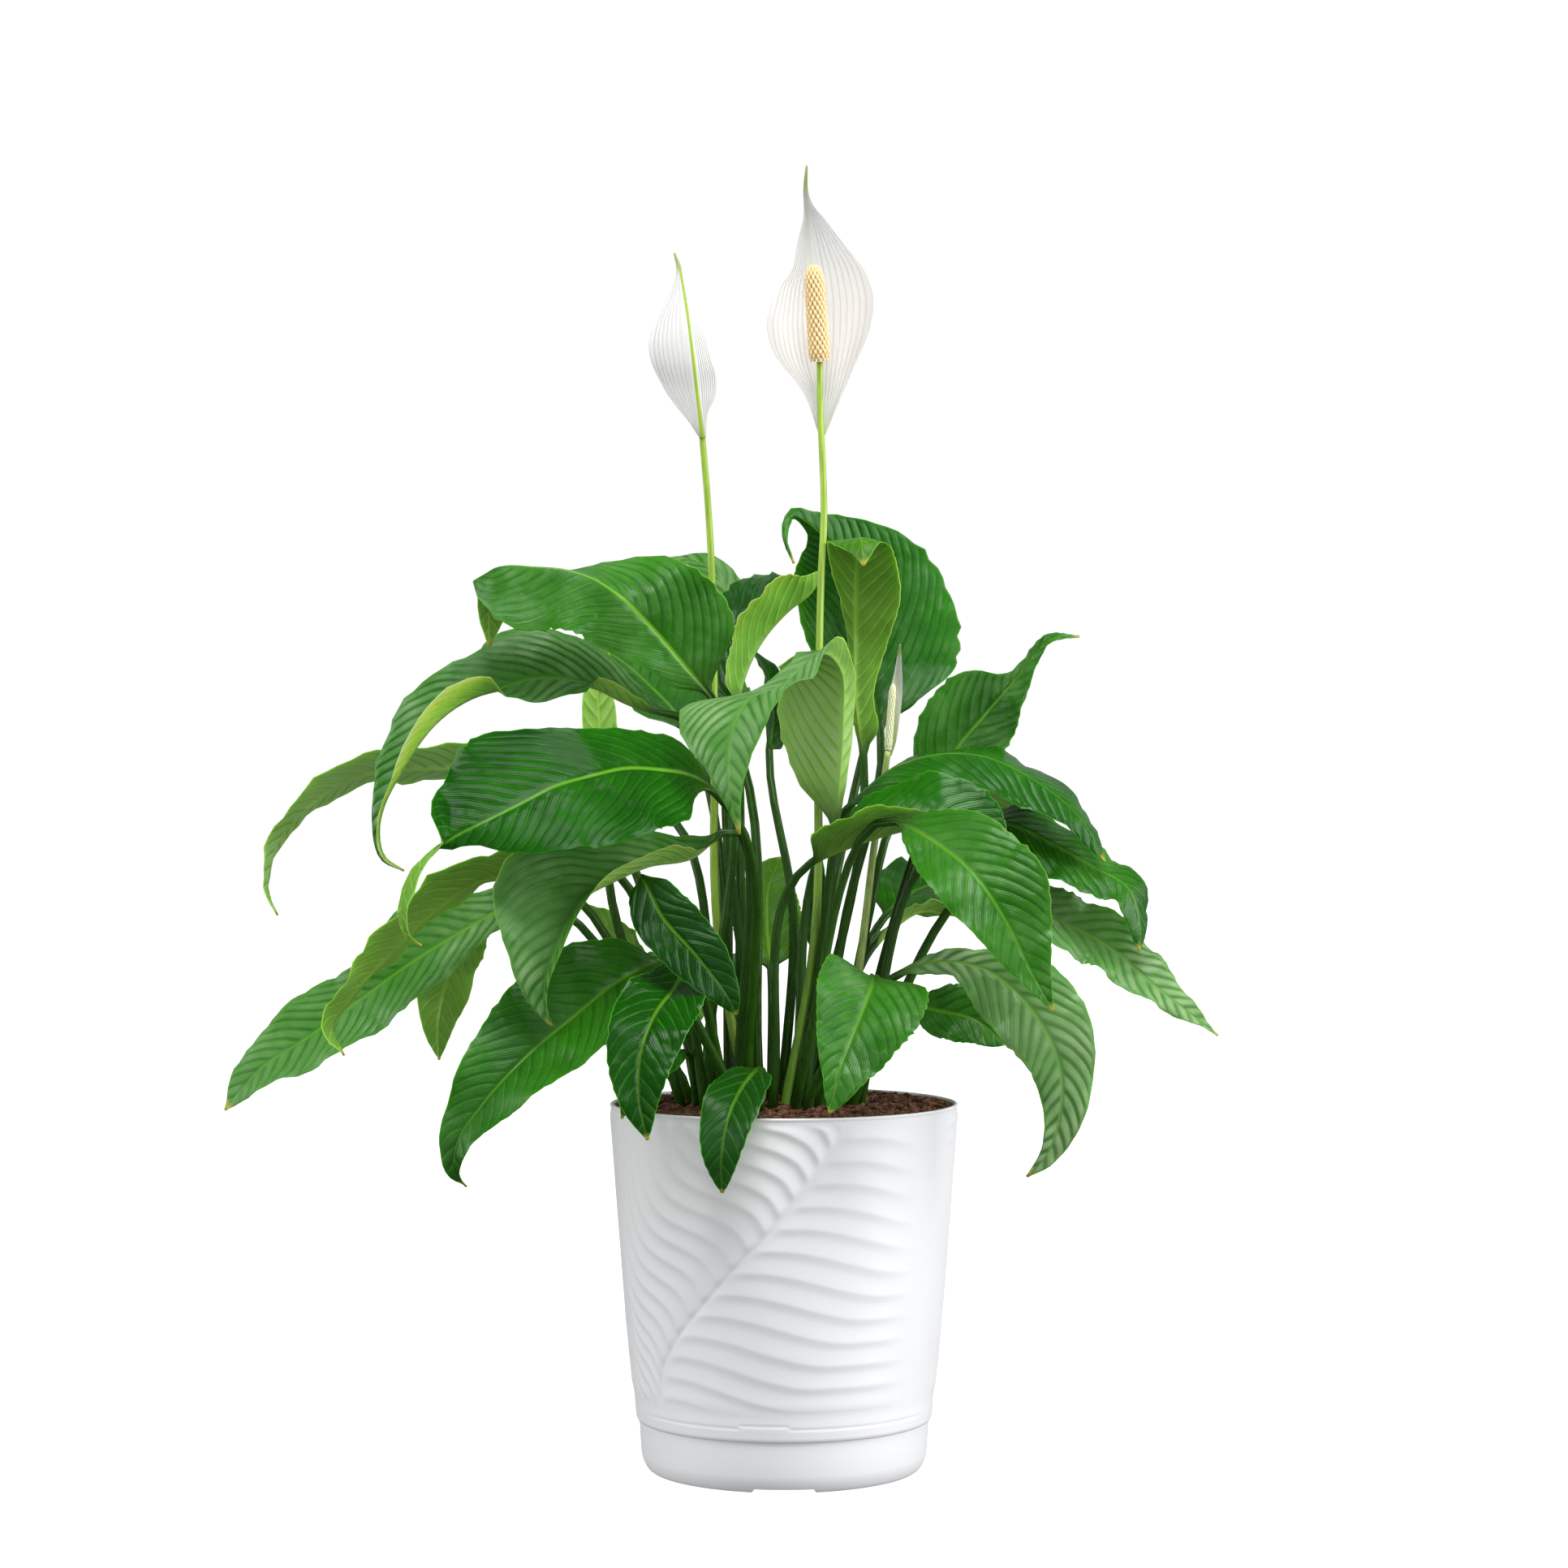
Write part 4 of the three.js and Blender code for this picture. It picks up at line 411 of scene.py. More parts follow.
# ---------------------------------------------------------------- curves
PATH_STEPS = 14
ROUND = 6.28  # about one full turn
X_AXIS = np.array([1.0, 0, 0])


def smooth(a, b, x):
    """0 up to a, 1 from b on, and an S-shaped rise between them."""
    t = np.clip((np.asarray(x, float) - a) / (b - a), 0, 1)
    return t * t * (3 - 2 * t)


def lerp(a, b, t):
    return a + (b - a) * t


def spaced(i, rows, amount):
    """Row i of rows as a share of the way, with rows drawn closer at both ends by amount."""
    return lerp(i / rows, (1 - math.cos(math.pi * i / rows)) / 2, amount)


def along(table, x):
    xs = [row[0] for row in table]
    ys = [row[1] for row in table]
    return np.interp(x, xs, ys)


def sheet(point):
    """The place in mm of a point given as (across, down, depth)."""
    across, down, depth = point
    scale = (EYE_DISTANCE + depth) / EYE_UNITS
    return np.array([(across - EYE_MIDDLE) * scale, depth, EYE_HEIGHT - (down - EYE_MIDDLE) * scale])


def hole(i, j):
    return CROWN_X + HOLE_PITCH * (i + (0.5 if abs(j) % 2 else 0)), HOLE_ROW * j


def unit(v):
    return v / np.linalg.norm(v)


def smooth_line(points, per_span):
    """A smooth line through points: cubic pieces whose slopes come from the neighbouring chords."""
    points = [np.asarray(p, float) for p in points]
    n = len(points)
    gaps = [np.linalg.norm(points[i + 1] - points[i]) for i in range(n - 1)]
    chords = [(points[i + 1] - points[i]) / gaps[i] for i in range(n - 1)]
    slopes = [chords[0]]
    for i in range(1, n - 1):
        slopes.append((chords[i - 1] * gaps[i] + chords[i] * gaps[i - 1]) / (gaps[i] + gaps[i - 1]))
    slopes.append(chords[-1])
    line = []
    for i in range(n - 1):
        for k in range(per_span):
            t = k / per_span
            line.append(
                points[i] * (2 * t**3 - 3 * t**2 + 1)
                + slopes[i] * gaps[i] * (t**3 - 2 * t**2 + t)
                + points[i + 1] * (3 * t**2 - 2 * t**3)
                + slopes[i + 1] * gaps[i] * (t**3 - t**2)
            )
    line.append(points[-1])
    return np.array(line)


def curve(table, t):
    """A table of (t, value) read at t, smoothly. Two plain numbers are the values at both ends."""
    if not isinstance(table[0], tuple):
        return lerp(table[0], table[1], t)
    line = smooth_line([np.array([a * 100, b]) for a, b in table], 8)
    return float(np.interp(t * 100, line[:, 0], line[:, 1]))


class Path:
    """A line that can be read at any length from its start."""

    def __init__(self, points, per_span):
        self.line = smooth_line(points, per_span)
        steps = np.linalg.norm(np.diff(self.line, axis=0), axis=1)
        self.sums = np.concatenate([[0], np.cumsum(steps)])
        self.total = self.sums[-1]

    def at(self, s):
        return np.array([np.interp(s, self.sums, self.line[:, k]) for k in range(3)])

    def way(self, s, reach=1.5):
        return unit(self.at(min(self.total, s + reach)) - self.at(max(0, s - reach)))


def turned(v, axis, angle):
    """v turned about axis, by the right-hand rule."""
    c, s = math.cos(angle), math.sin(angle)
    return v * c + np.cross(axis, v) * s + axis * np.dot(axis, v) * (1 - c)


def square_to(way, side):
    """The part of side that is square to way, and what is square to both."""
    right = unit(side - way * np.dot(side, way))
    return right, np.cross(right, way)


def placed(at, right, top, x, y):
    return at + np.outer(x, right) + np.outer(y, top)


# ---------------------------------------------------------------- meshes
def ring_faces(rings):
    """Faces between each ring of vertex numbers and the next. A ring of one number repeated is a point."""
    faces = []
    for low, high in zip(rings, rings[1:]):
        for j in range(len(low)):
            k = (j + 1) % len(low)
            face = tuple(dict.fromkeys((low[j], high[j], high[k], low[k])))
            if len(face) > 2:
                faces.append(face)
    return faces


def numbered(rows, n):
    return [tuple(range(i * n, (i + 1) * n)) for i in range(rows)]


def skin_faces(rows, n):
    """Faces of a closed skin over rows of n points each, with an end face at both ends."""
    rings = numbered(rows, n)
    return ring_faces(rings) + [rings[0], tuple(reversed(rings[-1]))]


def joined(values):
    return {key: np.concatenate(rows) for key, rows in values.items()}


def add_object(name, data):
    thing = bpy.data.objects.new(name, data)
    bpy.context.scene.collection.objects.link(thing)
    return thing


def make_piece(name, verts, faces, mats, picks=None, values=None, nodes=(), slot=None, flat=False):
    """One mesh piece. verts are in mm; picks gives each face's material; values are numbers per vertex."""
    mesh = bpy.data.meshes.new(name)
    mesh.from_pydata([tuple(v) for v in np.asarray(verts) * 0.001], [], faces)
    for mat in mats:
        mesh.materials.append(mat)
    if picks is not None:
        mesh.polygons.foreach_set("material_index", picks)
    mesh.polygons.foreach_set("use_smooth", [not flat] * len(mesh.polygons))
    for key, numbers in (values or {}).items():
        layer = mesh.attributes.new(key, "FLOAT", "POINT")
        layer.data.foreach_set("value", np.asarray(numbers, float).ravel())
    mesh.update()
    piece = add_object(name, mesh)
    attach(piece, "root")
    if nodes:
        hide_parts(*nodes)
    return piece


# ---------------------------------------------------------------- leaves
VEIN_PITCH = 8.5  # mm along the rib
STEM_ROWS = 12
BLADE_ROWS = 56
SMALL_ROWS = 34  # on leaves at the back and leaves narrower than SMALL_WIDTH
SMALL_WIDTH = 32
CUP_CURVE = 0.07  # radians that a half with a cup table curves by, from rib to margin
LEFT_LAG = 1.9  # radians that the left margin's wave lags the right one's
# Where the points of a ring lie across the blade, from the right margin (1) to the left margin (-1).
HALF_ACROSS = (1, 0.985, 0.94, 0.86, 0.76, 0.65, 0.54, 0.43, 0.33, 0.24, 0.16, 0.1, 0.055, 0.025)
ACROSS = np.array(HALF_ACROSS + (0,) + tuple(-u for u in reversed(HALF_ACROSS)))
FROM_RIB = np.abs(ACROSS)
STRIP_STEPS = 40
STRIP = np.linspace(0, 1, STRIP_STEPS + 1)


def there_and_back(top, under):
    """One ring from a row over the top and a row along the underside, which share both margins."""
    return np.concatenate([top, under[-2:0:-1]])


RING = there_and_back(ACROSS, ACROSS)


def side_picks(gaps):
    """Each face's material over a skin of such rings: 0 on top, 1 on the underside and on both ends."""
    half = len(ACROSS) - 1
    return ([0] * half + [1] * half) * gaps + [1, 1]


def strip(bend, width):
    """Across and height, from rib to margin, of half a blade whose steps lie at the angles of bend."""
    sums = [np.concatenate([[0], np.cumsum(share(bend))]) for share in (np.cos, np.sin)]
    return [line / STRIP_STEPS * width for line in sums]


def margin(leaf, key, t):
    """Half the blade's width at t, on its right or its left: from its own table, or by a common formula."""
    if key in leaf:
        return curve(leaf[key], t)
    belly, taper = leaf["belly"], leaf["taper"]
    foot = belly * taper / (1 - belly)
    u = min(0.9999, max(0.0001, t))
    return leaf["width"] / 2 * (u / belly) ** foot * ((1 - u) / (1 - belly)) ** taper


def blade_bend(leaf, k, t):
    """Angles of the blade's right half (k = 0) or left half (k = 1) at t, from rib to margin."""
    cup = ("cupRight", "cupLeft")[k]
    if cup in leaf:
        inner, outer = math.radians(curve(leaf[cup], t)), CUP_CURVE
    else:
        fold = leaf["fold"]
        tip = leaf.get("foldTip", fold)
        low = (fold, leaf.get("foldLeft", fold))[k]
        high = (tip, leaf.get("foldLeftTip", leaf.get("foldLeft", tip)))[k]
        inner, outer = (math.radians(lerp(low[j], high[j], t)) for j in (0, 1))
    return inner + outer * smooth(0.15, 0.85, STRIP)


def margin_wave(leaf, k, t, drawn):
    """How far the margin waves at t: a broad ripple, and a crimp along its very edge."""
    f1, p1, f2, p2 = drawn
    size, count, start = leaf["wave"]
    end = t * 1.02
    fade = math.sin(math.pi * min(1, end)) ** 0.5 if 0 < end < 1 else 0
    main = math.sin(2 * math.pi * count * t + start + (0, LEFT_LAG)[k])
    second = 0.3 * math.sin(f1 * count * ROUND * t + p1)
    third = 0.2 * math.sin(f2 * count * ROUND * t + p2)
    crimp = 0.5 * fade * math.sin(3.1 * f2 * count * ROUND * t + p1) * (0.4 + abs(math.sin(4 * t + p2)))
    return size * fade * (main + second + third), crimp


def blade_ring(leaf, t, reach, drawn):
    """A ring of the blade at t, reach wide on each side: across and height of its points."""
    xs, ys = np.zeros(len(ACROSS)), np.zeros(len(ACROSS))
    for k, way_out in enumerate((1, -1)):
        bend = blade_bend(leaf, k, t)
        out_x, out_y = strip((bend[1:] + bend[:-1]) / 2, reach[k])
        ripple, crimp = margin_wave(leaf, k, t, drawn[k])
        pick = ACROSS * way_out >= 0
        u = FROM_RIB[pick]
        xs[pick] = way_out * np.interp(u, STRIP, out_x)
        ys[pick] = np.interp(u, STRIP, out_y) + ripple * u**1.8 + crimp * u**6
    u = FROM_RIB
    w = np.where(ACROSS >= 0, reach[0], reach[1])
    thick = BLADE_THICK * (1 - 0.3 * t)
    body = np.sqrt(np.clip(1 - u**2, 0, 1))
    groove = 0.35 * np.exp(-((u * w / 1.1) ** 2)) * (1 - 0.7 * t)
    keel_width = 1.5 * (1 - 0.6 * t)
    keel = 1.6 * (1 - 0.75 * t) * np.exp(-((u * w / keel_width) ** 2))
    over = ys + thick * 0.5 * body - groove
    below = ys - thick * 0.5 * body - keel
    return there_and_back(xs, xs), there_and_back(over, below)


def stem_ring(radius, share):
    """A ring of the stem, with a shallow channel along its top that starts some way up."""
    angle = 2 * np.pi * np.arange(len(RING)) / len(RING)
    channel = 0.55 * radius * np.exp(-(((angle - np.pi / 2) / 0.42) ** 2)) * smooth(0.2, 0.9, share)
    return radius * np.cos(angle), radius * np.sin(angle) - channel


def leaf_path(leaf):
    """The line up the stem and along the rib, the length at which the blade starts, and its heading."""
    up = [sheet(p) for p in leaf.get("stem", ())]
    rib = [sheet(p) for p in leaf["rib"]]
    path = Path([np.array([*hole(*leaf["hole"]), SOIL_Z + 4])] + up + rib, PATH_STEPS)
    heading = leaf.get("head", (rib[-1] - rib[0])[:2])
    return path, path.sums[(1 + len(up)) * PATH_STEPS], heading


def leaf_mesh(name, leaf, blade_rows):
    rng = random.Random(name)
    path, foot, heading = leaf_path(leaf)
    blade = path.total - foot
    side = unit(np.array([heading[1], -heading[0], 0.0]))
    sign = -1 if heading[0] < 0 else 1
    drawn = [(rng.uniform(1.7, 2.4), rng.uniform(0, ROUND), rng.uniform(3.2, 4.4), rng.uniform(0, ROUND))
             for _ in range(2)]
    stations = [foot * i / STEM_ROWS for i in range(STEM_ROWS)]
    stations += [foot + blade * spaced(i, blade_rows, 0.35) for i in range(blade_rows + 1)]
    ways = [path.way(s) for s in stations]
    rights = [None] * len(stations)
    for i in range(STEM_ROWS, len(stations)):
        t = (stations[i] - foot) / blade
        right = square_to(ways[i], side)[0]
        rights[i] = turned(right, ways[i], sign * math.radians(curve(leaf["roll"], t)))
    for i in range(STEM_ROWS - 1, -1, -1):
        rights[i] = square_to(ways[i], rights[i + 1])[0]
    verts = []
    values = {key: [] for key in ("vein", "rib", "edge", "far", "stalk", "across")}
    n = len(RING)
    for s, way, right in zip(stations, ways, rights):
        t = max(0, (s - foot) / blade)
        blend = 0 if s <= foot else float(smooth(0, 0.1, t))
        radius = leaf.get("thick", STEM_RADIUS) * (1 - 0.22 * min(1, s / foot))
        least = 0.7 + (radius - 0.7) * (1 - float(smooth(0, 0.25, t)))
        reach = []
        for key, (f1, p1, f2, p2) in zip(("right", "left"), drawn):
            nick = 0.012 * math.sin(9 * f1 * t * ROUND + p2) + 0.016 * math.sin(5 * f2 * t * ROUND + p1)
            reach.append(max(least, margin(leaf, key, t) * (1 + nick)))
        flat_x, flat_y = blade_ring(leaf, t, reach, drawn)
        round_x, round_y = stem_ring(radius, s / foot)
        x = round_x + (flat_x - round_x) * blend
        y = round_y + (flat_y - round_y) * blend
        verts.append(placed(path.at(s), right, np.cross(right, way), x, y))
        width = np.where(RING >= 0, reach[0], reach[1])
        dist = np.abs(RING) * width
        # veins leave the rib at a slant and bend toward the tip; the two sides are out of step
        lean = (s - foot) - 0.85 * dist - 0.62 * dist**2 / np.maximum(width, 6)
        lean = lean + 0.45 * VEIN_PITCH * (RING < 0)
        values["vein"].append(lean / VEIN_PITCH)
        values["rib"].append(dist / (1.5 * (1 - 0.7 * t) + 0.15))
        values["edge"].append((1 - np.abs(RING)) * width)
        values["far"].append(np.full(n, t))
        values["stalk"].append(np.full(n, 1 - float(smooth(0.0, 0.14, t)) if s > foot else 1.0))
        values["across"].append(np.abs(RING))
    verts[0][:, 2] = SOIL_Z - 6
    picks = side_picks(len(stations) - 1)
    return np.concatenate(verts), skin_faces(len(stations), n), picks, joined(values)


# ---------------------------------------------------------------- materials
def srgb(r, g, b):
    return tuple(((c / 255 + 0.055) / 1.055) ** 2.4 if c > 10 else c / 3294.6 for c in (r, g, b)) + (1.0,)


def shaded(color, factor):
    return tuple(c * factor for c in color[:3]) + (1.0,)


class Look:
    """A material under construction: short names for its nodes."""

    def __init__(self, name, roughness=0.5, **sockets):
        self.mat = bpy.data.materials.new(name)
        self.mat.use_nodes = True
        self.nodes = self.mat.node_tree.nodes
        self.links = self.mat.node_tree.links
        self.shader = self.nodes["Principled BSDF"]
        self.shader.inputs["Roughness"].default_value = roughness
        for key, value in sockets.items():
            self.shader.inputs[key.replace("_", " ")].default_value = value
        self.place = self.nodes.new("ShaderNodeTexCoord").outputs["Object"]

    def put(self, socket, value):
        if isinstance(value, bpy.types.NodeSocket):
            self.links.new(value, socket)
        else:
            socket.default_value = value

    def value(self, key):
        node = self.node("Attribute")
        node.attribute_name = key
        return node.outputs["Fac"]

    def node(self, kind, **sockets):
        node = self.nodes.new("ShaderNode" + kind)
        for key, value in sockets.items():
            self.put(node.inputs[key.replace("_", " ")], value)
        return node

    def maths(self, operation, a, b=0.0):
        node = self.node("Math")
        node.operation = operation
        self.put(node.inputs[0], a)
        self.put(node.inputs[1], b)
        return node.outputs[0]

    def mul(self, *terms):
        out = terms[0]
        for term in terms[1:]:
            out = self.maths("MULTIPLY", out, term)
        return out

    def add(self, *terms):
        out = terms[0]
        for term in terms[1:]:
            out = self.maths("ADD", out, term)
        return out

    def less(self, a, b):
        return self.maths("SUBTRACT", a, b)

    def off_middle(self, x):
        """How far the fraction of x is from one half: a zigzag, 0.5 where x is whole."""
        return self.maths("ABSOLUTE", self.less(self.maths("FRACT", x), 0.5))

    def ramp(self, x, a, b, low=0.0, high=1.0):
        """low up to a, high from b on, and an S-shaped change between them."""
        node = self.node("MapRange", Value=x, From_Min=a, From_Max=b, To_Min=low, To_Max=high)
        node.interpolation_type = "SMOOTHSTEP"
        return node.outputs[0]

    def fall(self, x, a, b):
        return self.ramp(x, a, b, 1.0, 0.0)

    def mix(self, amount, a, b):
        node = self.node("Mix")
        node.data_type = "RGBA"
        for index, value in ((0, amount), (6, a), (7, b)):
            self.put(node.inputs[index], value)
        return node.outputs[2]

    def noise(self, scale, detail=3.0, rough=0.5, place=None):
        place = place or self.place
        node = self.node("TexNoise", Vector=place, Scale=scale, Detail=detail, Roughness=rough)
        return node.outputs["Fac"]

    def streaks(self, scale, detail, squeeze):
        """Noise drawn out along Z."""
        place = self.node("Mapping", Vector=self.place, Scale=(1.0, 1.0, squeeze)).outputs["Vector"]
        return self.noise(scale, detail, 0.5, place)

    def cells(self, scale):
        """Distance to the nearest of many scattered points."""
        return self.node("TexVoronoi", Vector=self.place, Scale=scale).outputs["Distance"]

    def finish(self, color, roughness=None, height=None, depth=0.0):
        """Sets the colour, the roughness and a relief of the given depth in metres."""
        self.put(self.shader.inputs["Base Color"], color)
        if roughness is not None:
            self.put(self.shader.inputs["Roughness"], roughness)
        if height is not None:
            bump = self.node("Bump", Strength=1.0, Distance=depth, Height=height)
            self.put(self.shader.inputs["Normal"], bump.outputs["Normal"])
        return self.mat


# a green-white for painted sheen: a painted reflection of the lamps on the leaves
PAINTED_SHEEN = srgb(168, 194, 146)
DRY_TIP = srgb(176, 168, 66)
STALK_DARK = srgb(36, 74, 10)
# a white for painted light at the top of the spathes
TOP_LIGHT_WHITE = (0.98, 0.98, 0.97, 1)
GREEN_TIP = srgb(176, 200, 122)


def leaf_look(name, dark, light, rib_tone, rough, relief, under=False):
    k = Look(name, rough, Subsurface_Weight=0.5 if under else 0.3, Subsurface_Scale=0.0016,
             Subsurface_Radius=(0.7, 1.0, 0.2))
    vein, rib, edge = k.value("vein"), k.value("rib"), k.value("edge")
    far, stalk, across = k.value("far"), k.value("stalk"), k.value("across")
    tone = k.value("tone")
    k.put(k.shader.inputs["Specular IOR Level"], k.mul(k.value("shine"), 0.2))
    pale = tuple(min(1, c * 1.55 + 0.012) for c in light[:3]) + (1.0,)

    # where the veins run, and where on the blade they show
    phase = k.add(vein, k.mul(k.less(k.noise(28, 2), 0.5), 0.8))
    zigzag = k.mul(k.off_middle(phase), 2.0)
    blade = k.less(1.0, stalk)
    zone = k.mul(k.ramp(across, 0.015, 0.14), k.fall(across, 0.8, 1.0), blade)
    fine = k.maths("SINE", k.mul(phase, 2 * math.pi * 5))

    # green in broad patches and small clouds, set off by the leaf's tone, which is partly painted light and
    # shade
    cloud = k.noise(60, 4, 0.6)
    patch = k.mul(k.less(k.noise(17, 3), 0.5), 1.5)
    shade = k.add(patch, k.mul(k.less(cloud, 0.5), 0.5), 0.5, k.mul(tone, 0.45))
    color = k.mix(k.ramp(shade, 0.0, 1.0), dark, light)

    # painted light: a patchy painted sheen, standing for the lamps' reflection, on the ridges between the
    # veins; and painted shade in a dark groove beside each vein
    slope = k.maths("FRACT", k.add(phase, 0.15))
    ridge = k.mul(k.ramp(slope, 0.05, 0.4), k.fall(slope, 0.55, 0.95), zone)
    spread = k.ramp(k.noise(24, 3), 0.42, 0.62)
    # how much painted sheen: more on leaves of higher tone and in the lighter clouds
    painted_sheen = k.ramp(k.add(tone, k.mul(k.less(cloud, 0.5), 2.5)), 0.0, 2.6, 0.0, 0.7)
    sheen_weight = k.add(0.3, k.mul(spread, 0.2), k.mul(ridge, k.add(spread, 0.4), 0.35))
    color = k.mix(k.mul(painted_sheen, sheen_weight), color, PAINTED_SHEEN)
    # painted shade: the green darkened in a groove beside each vein
    beside = k.ramp(k.off_middle(k.add(phase, 0.2)), 0.2, 0.5)
    groove = k.mul(beside, zone, k.ramp(k.noise(31, 2), 0.35, 0.65, 0.18, 0.5))
    color = k.mix(groove, color, shaded(dark, 0.72))

    # pale lines: the veins, finer lines between them and the rib; and a painted highlight along the margin
    low = 0.22 if under else 0.1
    line = k.ramp(zigzag, 0.7, 1.0)
    color = k.mix(k.mul(line, zone, k.ramp(cloud, 0.35, 0.65, low, low + 0.26)), color, pale)
    color = k.mix(k.mul(k.ramp(fine, 0.2, 1.0), zone, 0.09), color, pale)
    rib_mask = k.mul(k.fall(rib, 0.3, 1.05), k.ramp(far, 0.2, 1.0, 0.85, 0.35), k.value("ribline"))
    color = k.mix(rib_mask, color, rib_tone)
    # painted highlight: a pale line along the margin's edge
    color = k.mix(k.mul(k.ramp(edge, 0.1, 0.75, 0.75, 0.0), blade), color, pale)

    # the streaked stem and the dry tip
    lines = k.streaks(700, 2, 0.05)
    stem = k.mix(k.ramp(lines, 0.3, 0.7), STALK_DARK, shaded(STALK_DARK, 1.35))
    color = k.mix(stalk, color, stem)
    color = k.mix(k.ramp(far, 0.965, 0.995, 0.0, 0.8), color, DRY_TIP)

    # relief: pillows between the veins, fine lines, grain, and broad unevenness
    pillow = k.less(1.0, k.maths("POWER", zigzag, 2.2))
    depth = k.ramp(k.noise(22, 2), 0.35, 0.65, 0.35 * relief, 1.1 * relief)
    height = k.mul(pillow, zone, depth)
    height = k.add(height, k.mul(fine, zone, 0.04), k.mul(k.noise(260, 3), 0.05), k.mul(lines, stalk, 0.15))
    if under:
        height = k.mul(height, -1.0)
    for scale, amount in ((24, 7.0), (60, 2.2), (150, 0.35)):
        height = k.add(height, k.mul(k.noise(scale, 2), amount))
    gloss = k.ramp(k.noise(13, 2), 0.35, 0.65, -0.07, 0.09)
    roughness = k.add(k.mul(k.noise(150, 3), 0.14), gloss, rough - 0.07)
    return k.finish(color, roughness, height, 0.00055)


def plastic_look():
    k = Look("white_plastic", 0.42)
    color = k.mix(k.ramp(k.noise(9, 3), 0.3, 0.7), (0.80, 0.808, 0.83, 1), (0.835, 0.842, 0.862, 1))
    specks = k.mul(k.fall(k.cells(170), 0.03, 0.075), k.ramp(k.noise(14, 1), 0.62, 0.72))
    color = k.mix(k.mul(specks, 0.3), color, (0.42, 0.42, 0.44, 1))
    height = k.add(k.noise(1400, 2), k.mul(k.noise(60, 2), 1.5))
    return k.finish(color, k.add(k.mul(k.noise(40, 3), 0.12), 0.36), height, 0.00004)


def soil_look(name, dark, light, scale):
    k = Look(name, 0.9)
    grain = k.noise(scale, 5, 0.65)
    tone = k.ramp(k.noise(scale * 0.23, 3), 0.3, 0.7)
    color = k.mix(k.ramp(grain, 0.35, 0.68), dark, light)
    color = k.mix(k.mul(tone, 0.45), color, shaded(dark, 0.45))
    height = k.add(grain, k.mul(k.cells(scale * 0.9), -0.8))
    return k.finish(color, k.add(k.mul(grain, 0.2), 0.75), height, 0.0007)


def stalk_look(name, low, high):
    k = Look(name, 0.42)
    lines = k.streaks(900, 3, 0.03)
    color = k.mix(k.value("far"), low, high)
    color = k.mix(k.ramp(lines, 0.35, 0.7, 0.0, 0.45), color, shaded(low, 0.55))
    return k.finish(color, k.add(k.mul(lines, 0.15), 0.36), lines, 0.00025)


def spathe_look(name, face, rib_tone, rib_strength, foot_tone, foot_reach=0.1):
    k = Look(name, Subsurface_Weight=0.3, Subsurface_Scale=0.003, Subsurface_Radius=(1.0, 1.0, 1.0))
    far, across = k.value("far"), k.value("across")
    line = k.ramp(k.off_middle(k.value("vein")), 0.2, 0.5)
    zone = k.mul(k.ramp(across, 0.04, 0.2), k.fall(across, 0.86, 1.0))
    color = k.mix(k.ramp(k.noise(25, 3), 0.3, 0.7), face, shaded(face, 0.965))
    # painted light: the spathe is painted whiter towards its top, where its hood turns away from the lamps
    color = k.mix(k.ramp(far, 0.35, 0.8), color, TOP_LIGHT_WHITE)
    # painted shade: the face a little darker along the grooves of its veins
    color = k.mix(k.mul(line, zone, 0.12), color, shaded(face, 0.8))
    color = k.mix(k.ramp(far, 0.0, foot_reach, 0.55 + foot_reach * 0.5, 0.0), color, foot_tone)
    color = k.mix(k.mul(k.fall(k.value("rib"), 0.5, 1.2), rib_strength), color, rib_tone)
    color = k.mix(k.ramp(far, 0.86, 0.95), color, GREEN_TIP)
    height = k.add(k.mul(line, zone, -0.8), k.mul(k.noise(300, 3), 0.1))
    return k.finish(color, k.add(k.mul(k.noise(120, 2), 0.1), 0.45), height, 0.0005)


def spadix_look(name, deep, knob, spot):
    k = Look(name, Subsurface_Weight=0.2, Subsurface_Scale=0.002)
    rise = k.value("rise")
    color = k.mix(k.ramp(rise, 0.1, 0.75), deep, knob)
    color = k.mix(k.ramp(rise, 0.86, 0.99, 0.0, 0.85), color, spot)
    return k.finish(color, 0.6, k.add(k.noise(1600, 3), k.mul(rise, 0.3)), 0.00025)


# A leaf's tone sets it off from its look, and is partly painted light: more is lighter and has more painted
# sheen, less is darker, as painted shade.
SHEEN_AND_SHADE_TONES = {
    "leaf_01": 0.7, "leaf_02": 1.2, "leaf_03": -0.4, "leaf_04": 2.0, "leaf_05": 1.1, "leaf_08": 1.4,
    "leaf_10": -1.8, "leaf_11": -0.6, "leaf_12": -2.2, "leaf_13": 0.6, "leaf_14": 0.4, "leaf_15": 2.3,
    "leaf_16": 0.2, "leaf_20": 1.6, "leaf_21": 0.6, "leaf_22": 0.1, "leaf_23": -1.6, "leaf_24": 1.6,
    "leaf_25": -1.6, "leaf_26": 1.4,
}
SHINE = {"leaf_03": 0.45, "leaf_10": 0.7, "leaf_11": 0.7}
PALE_RIBS = ("leaf_01", "leaf_03")
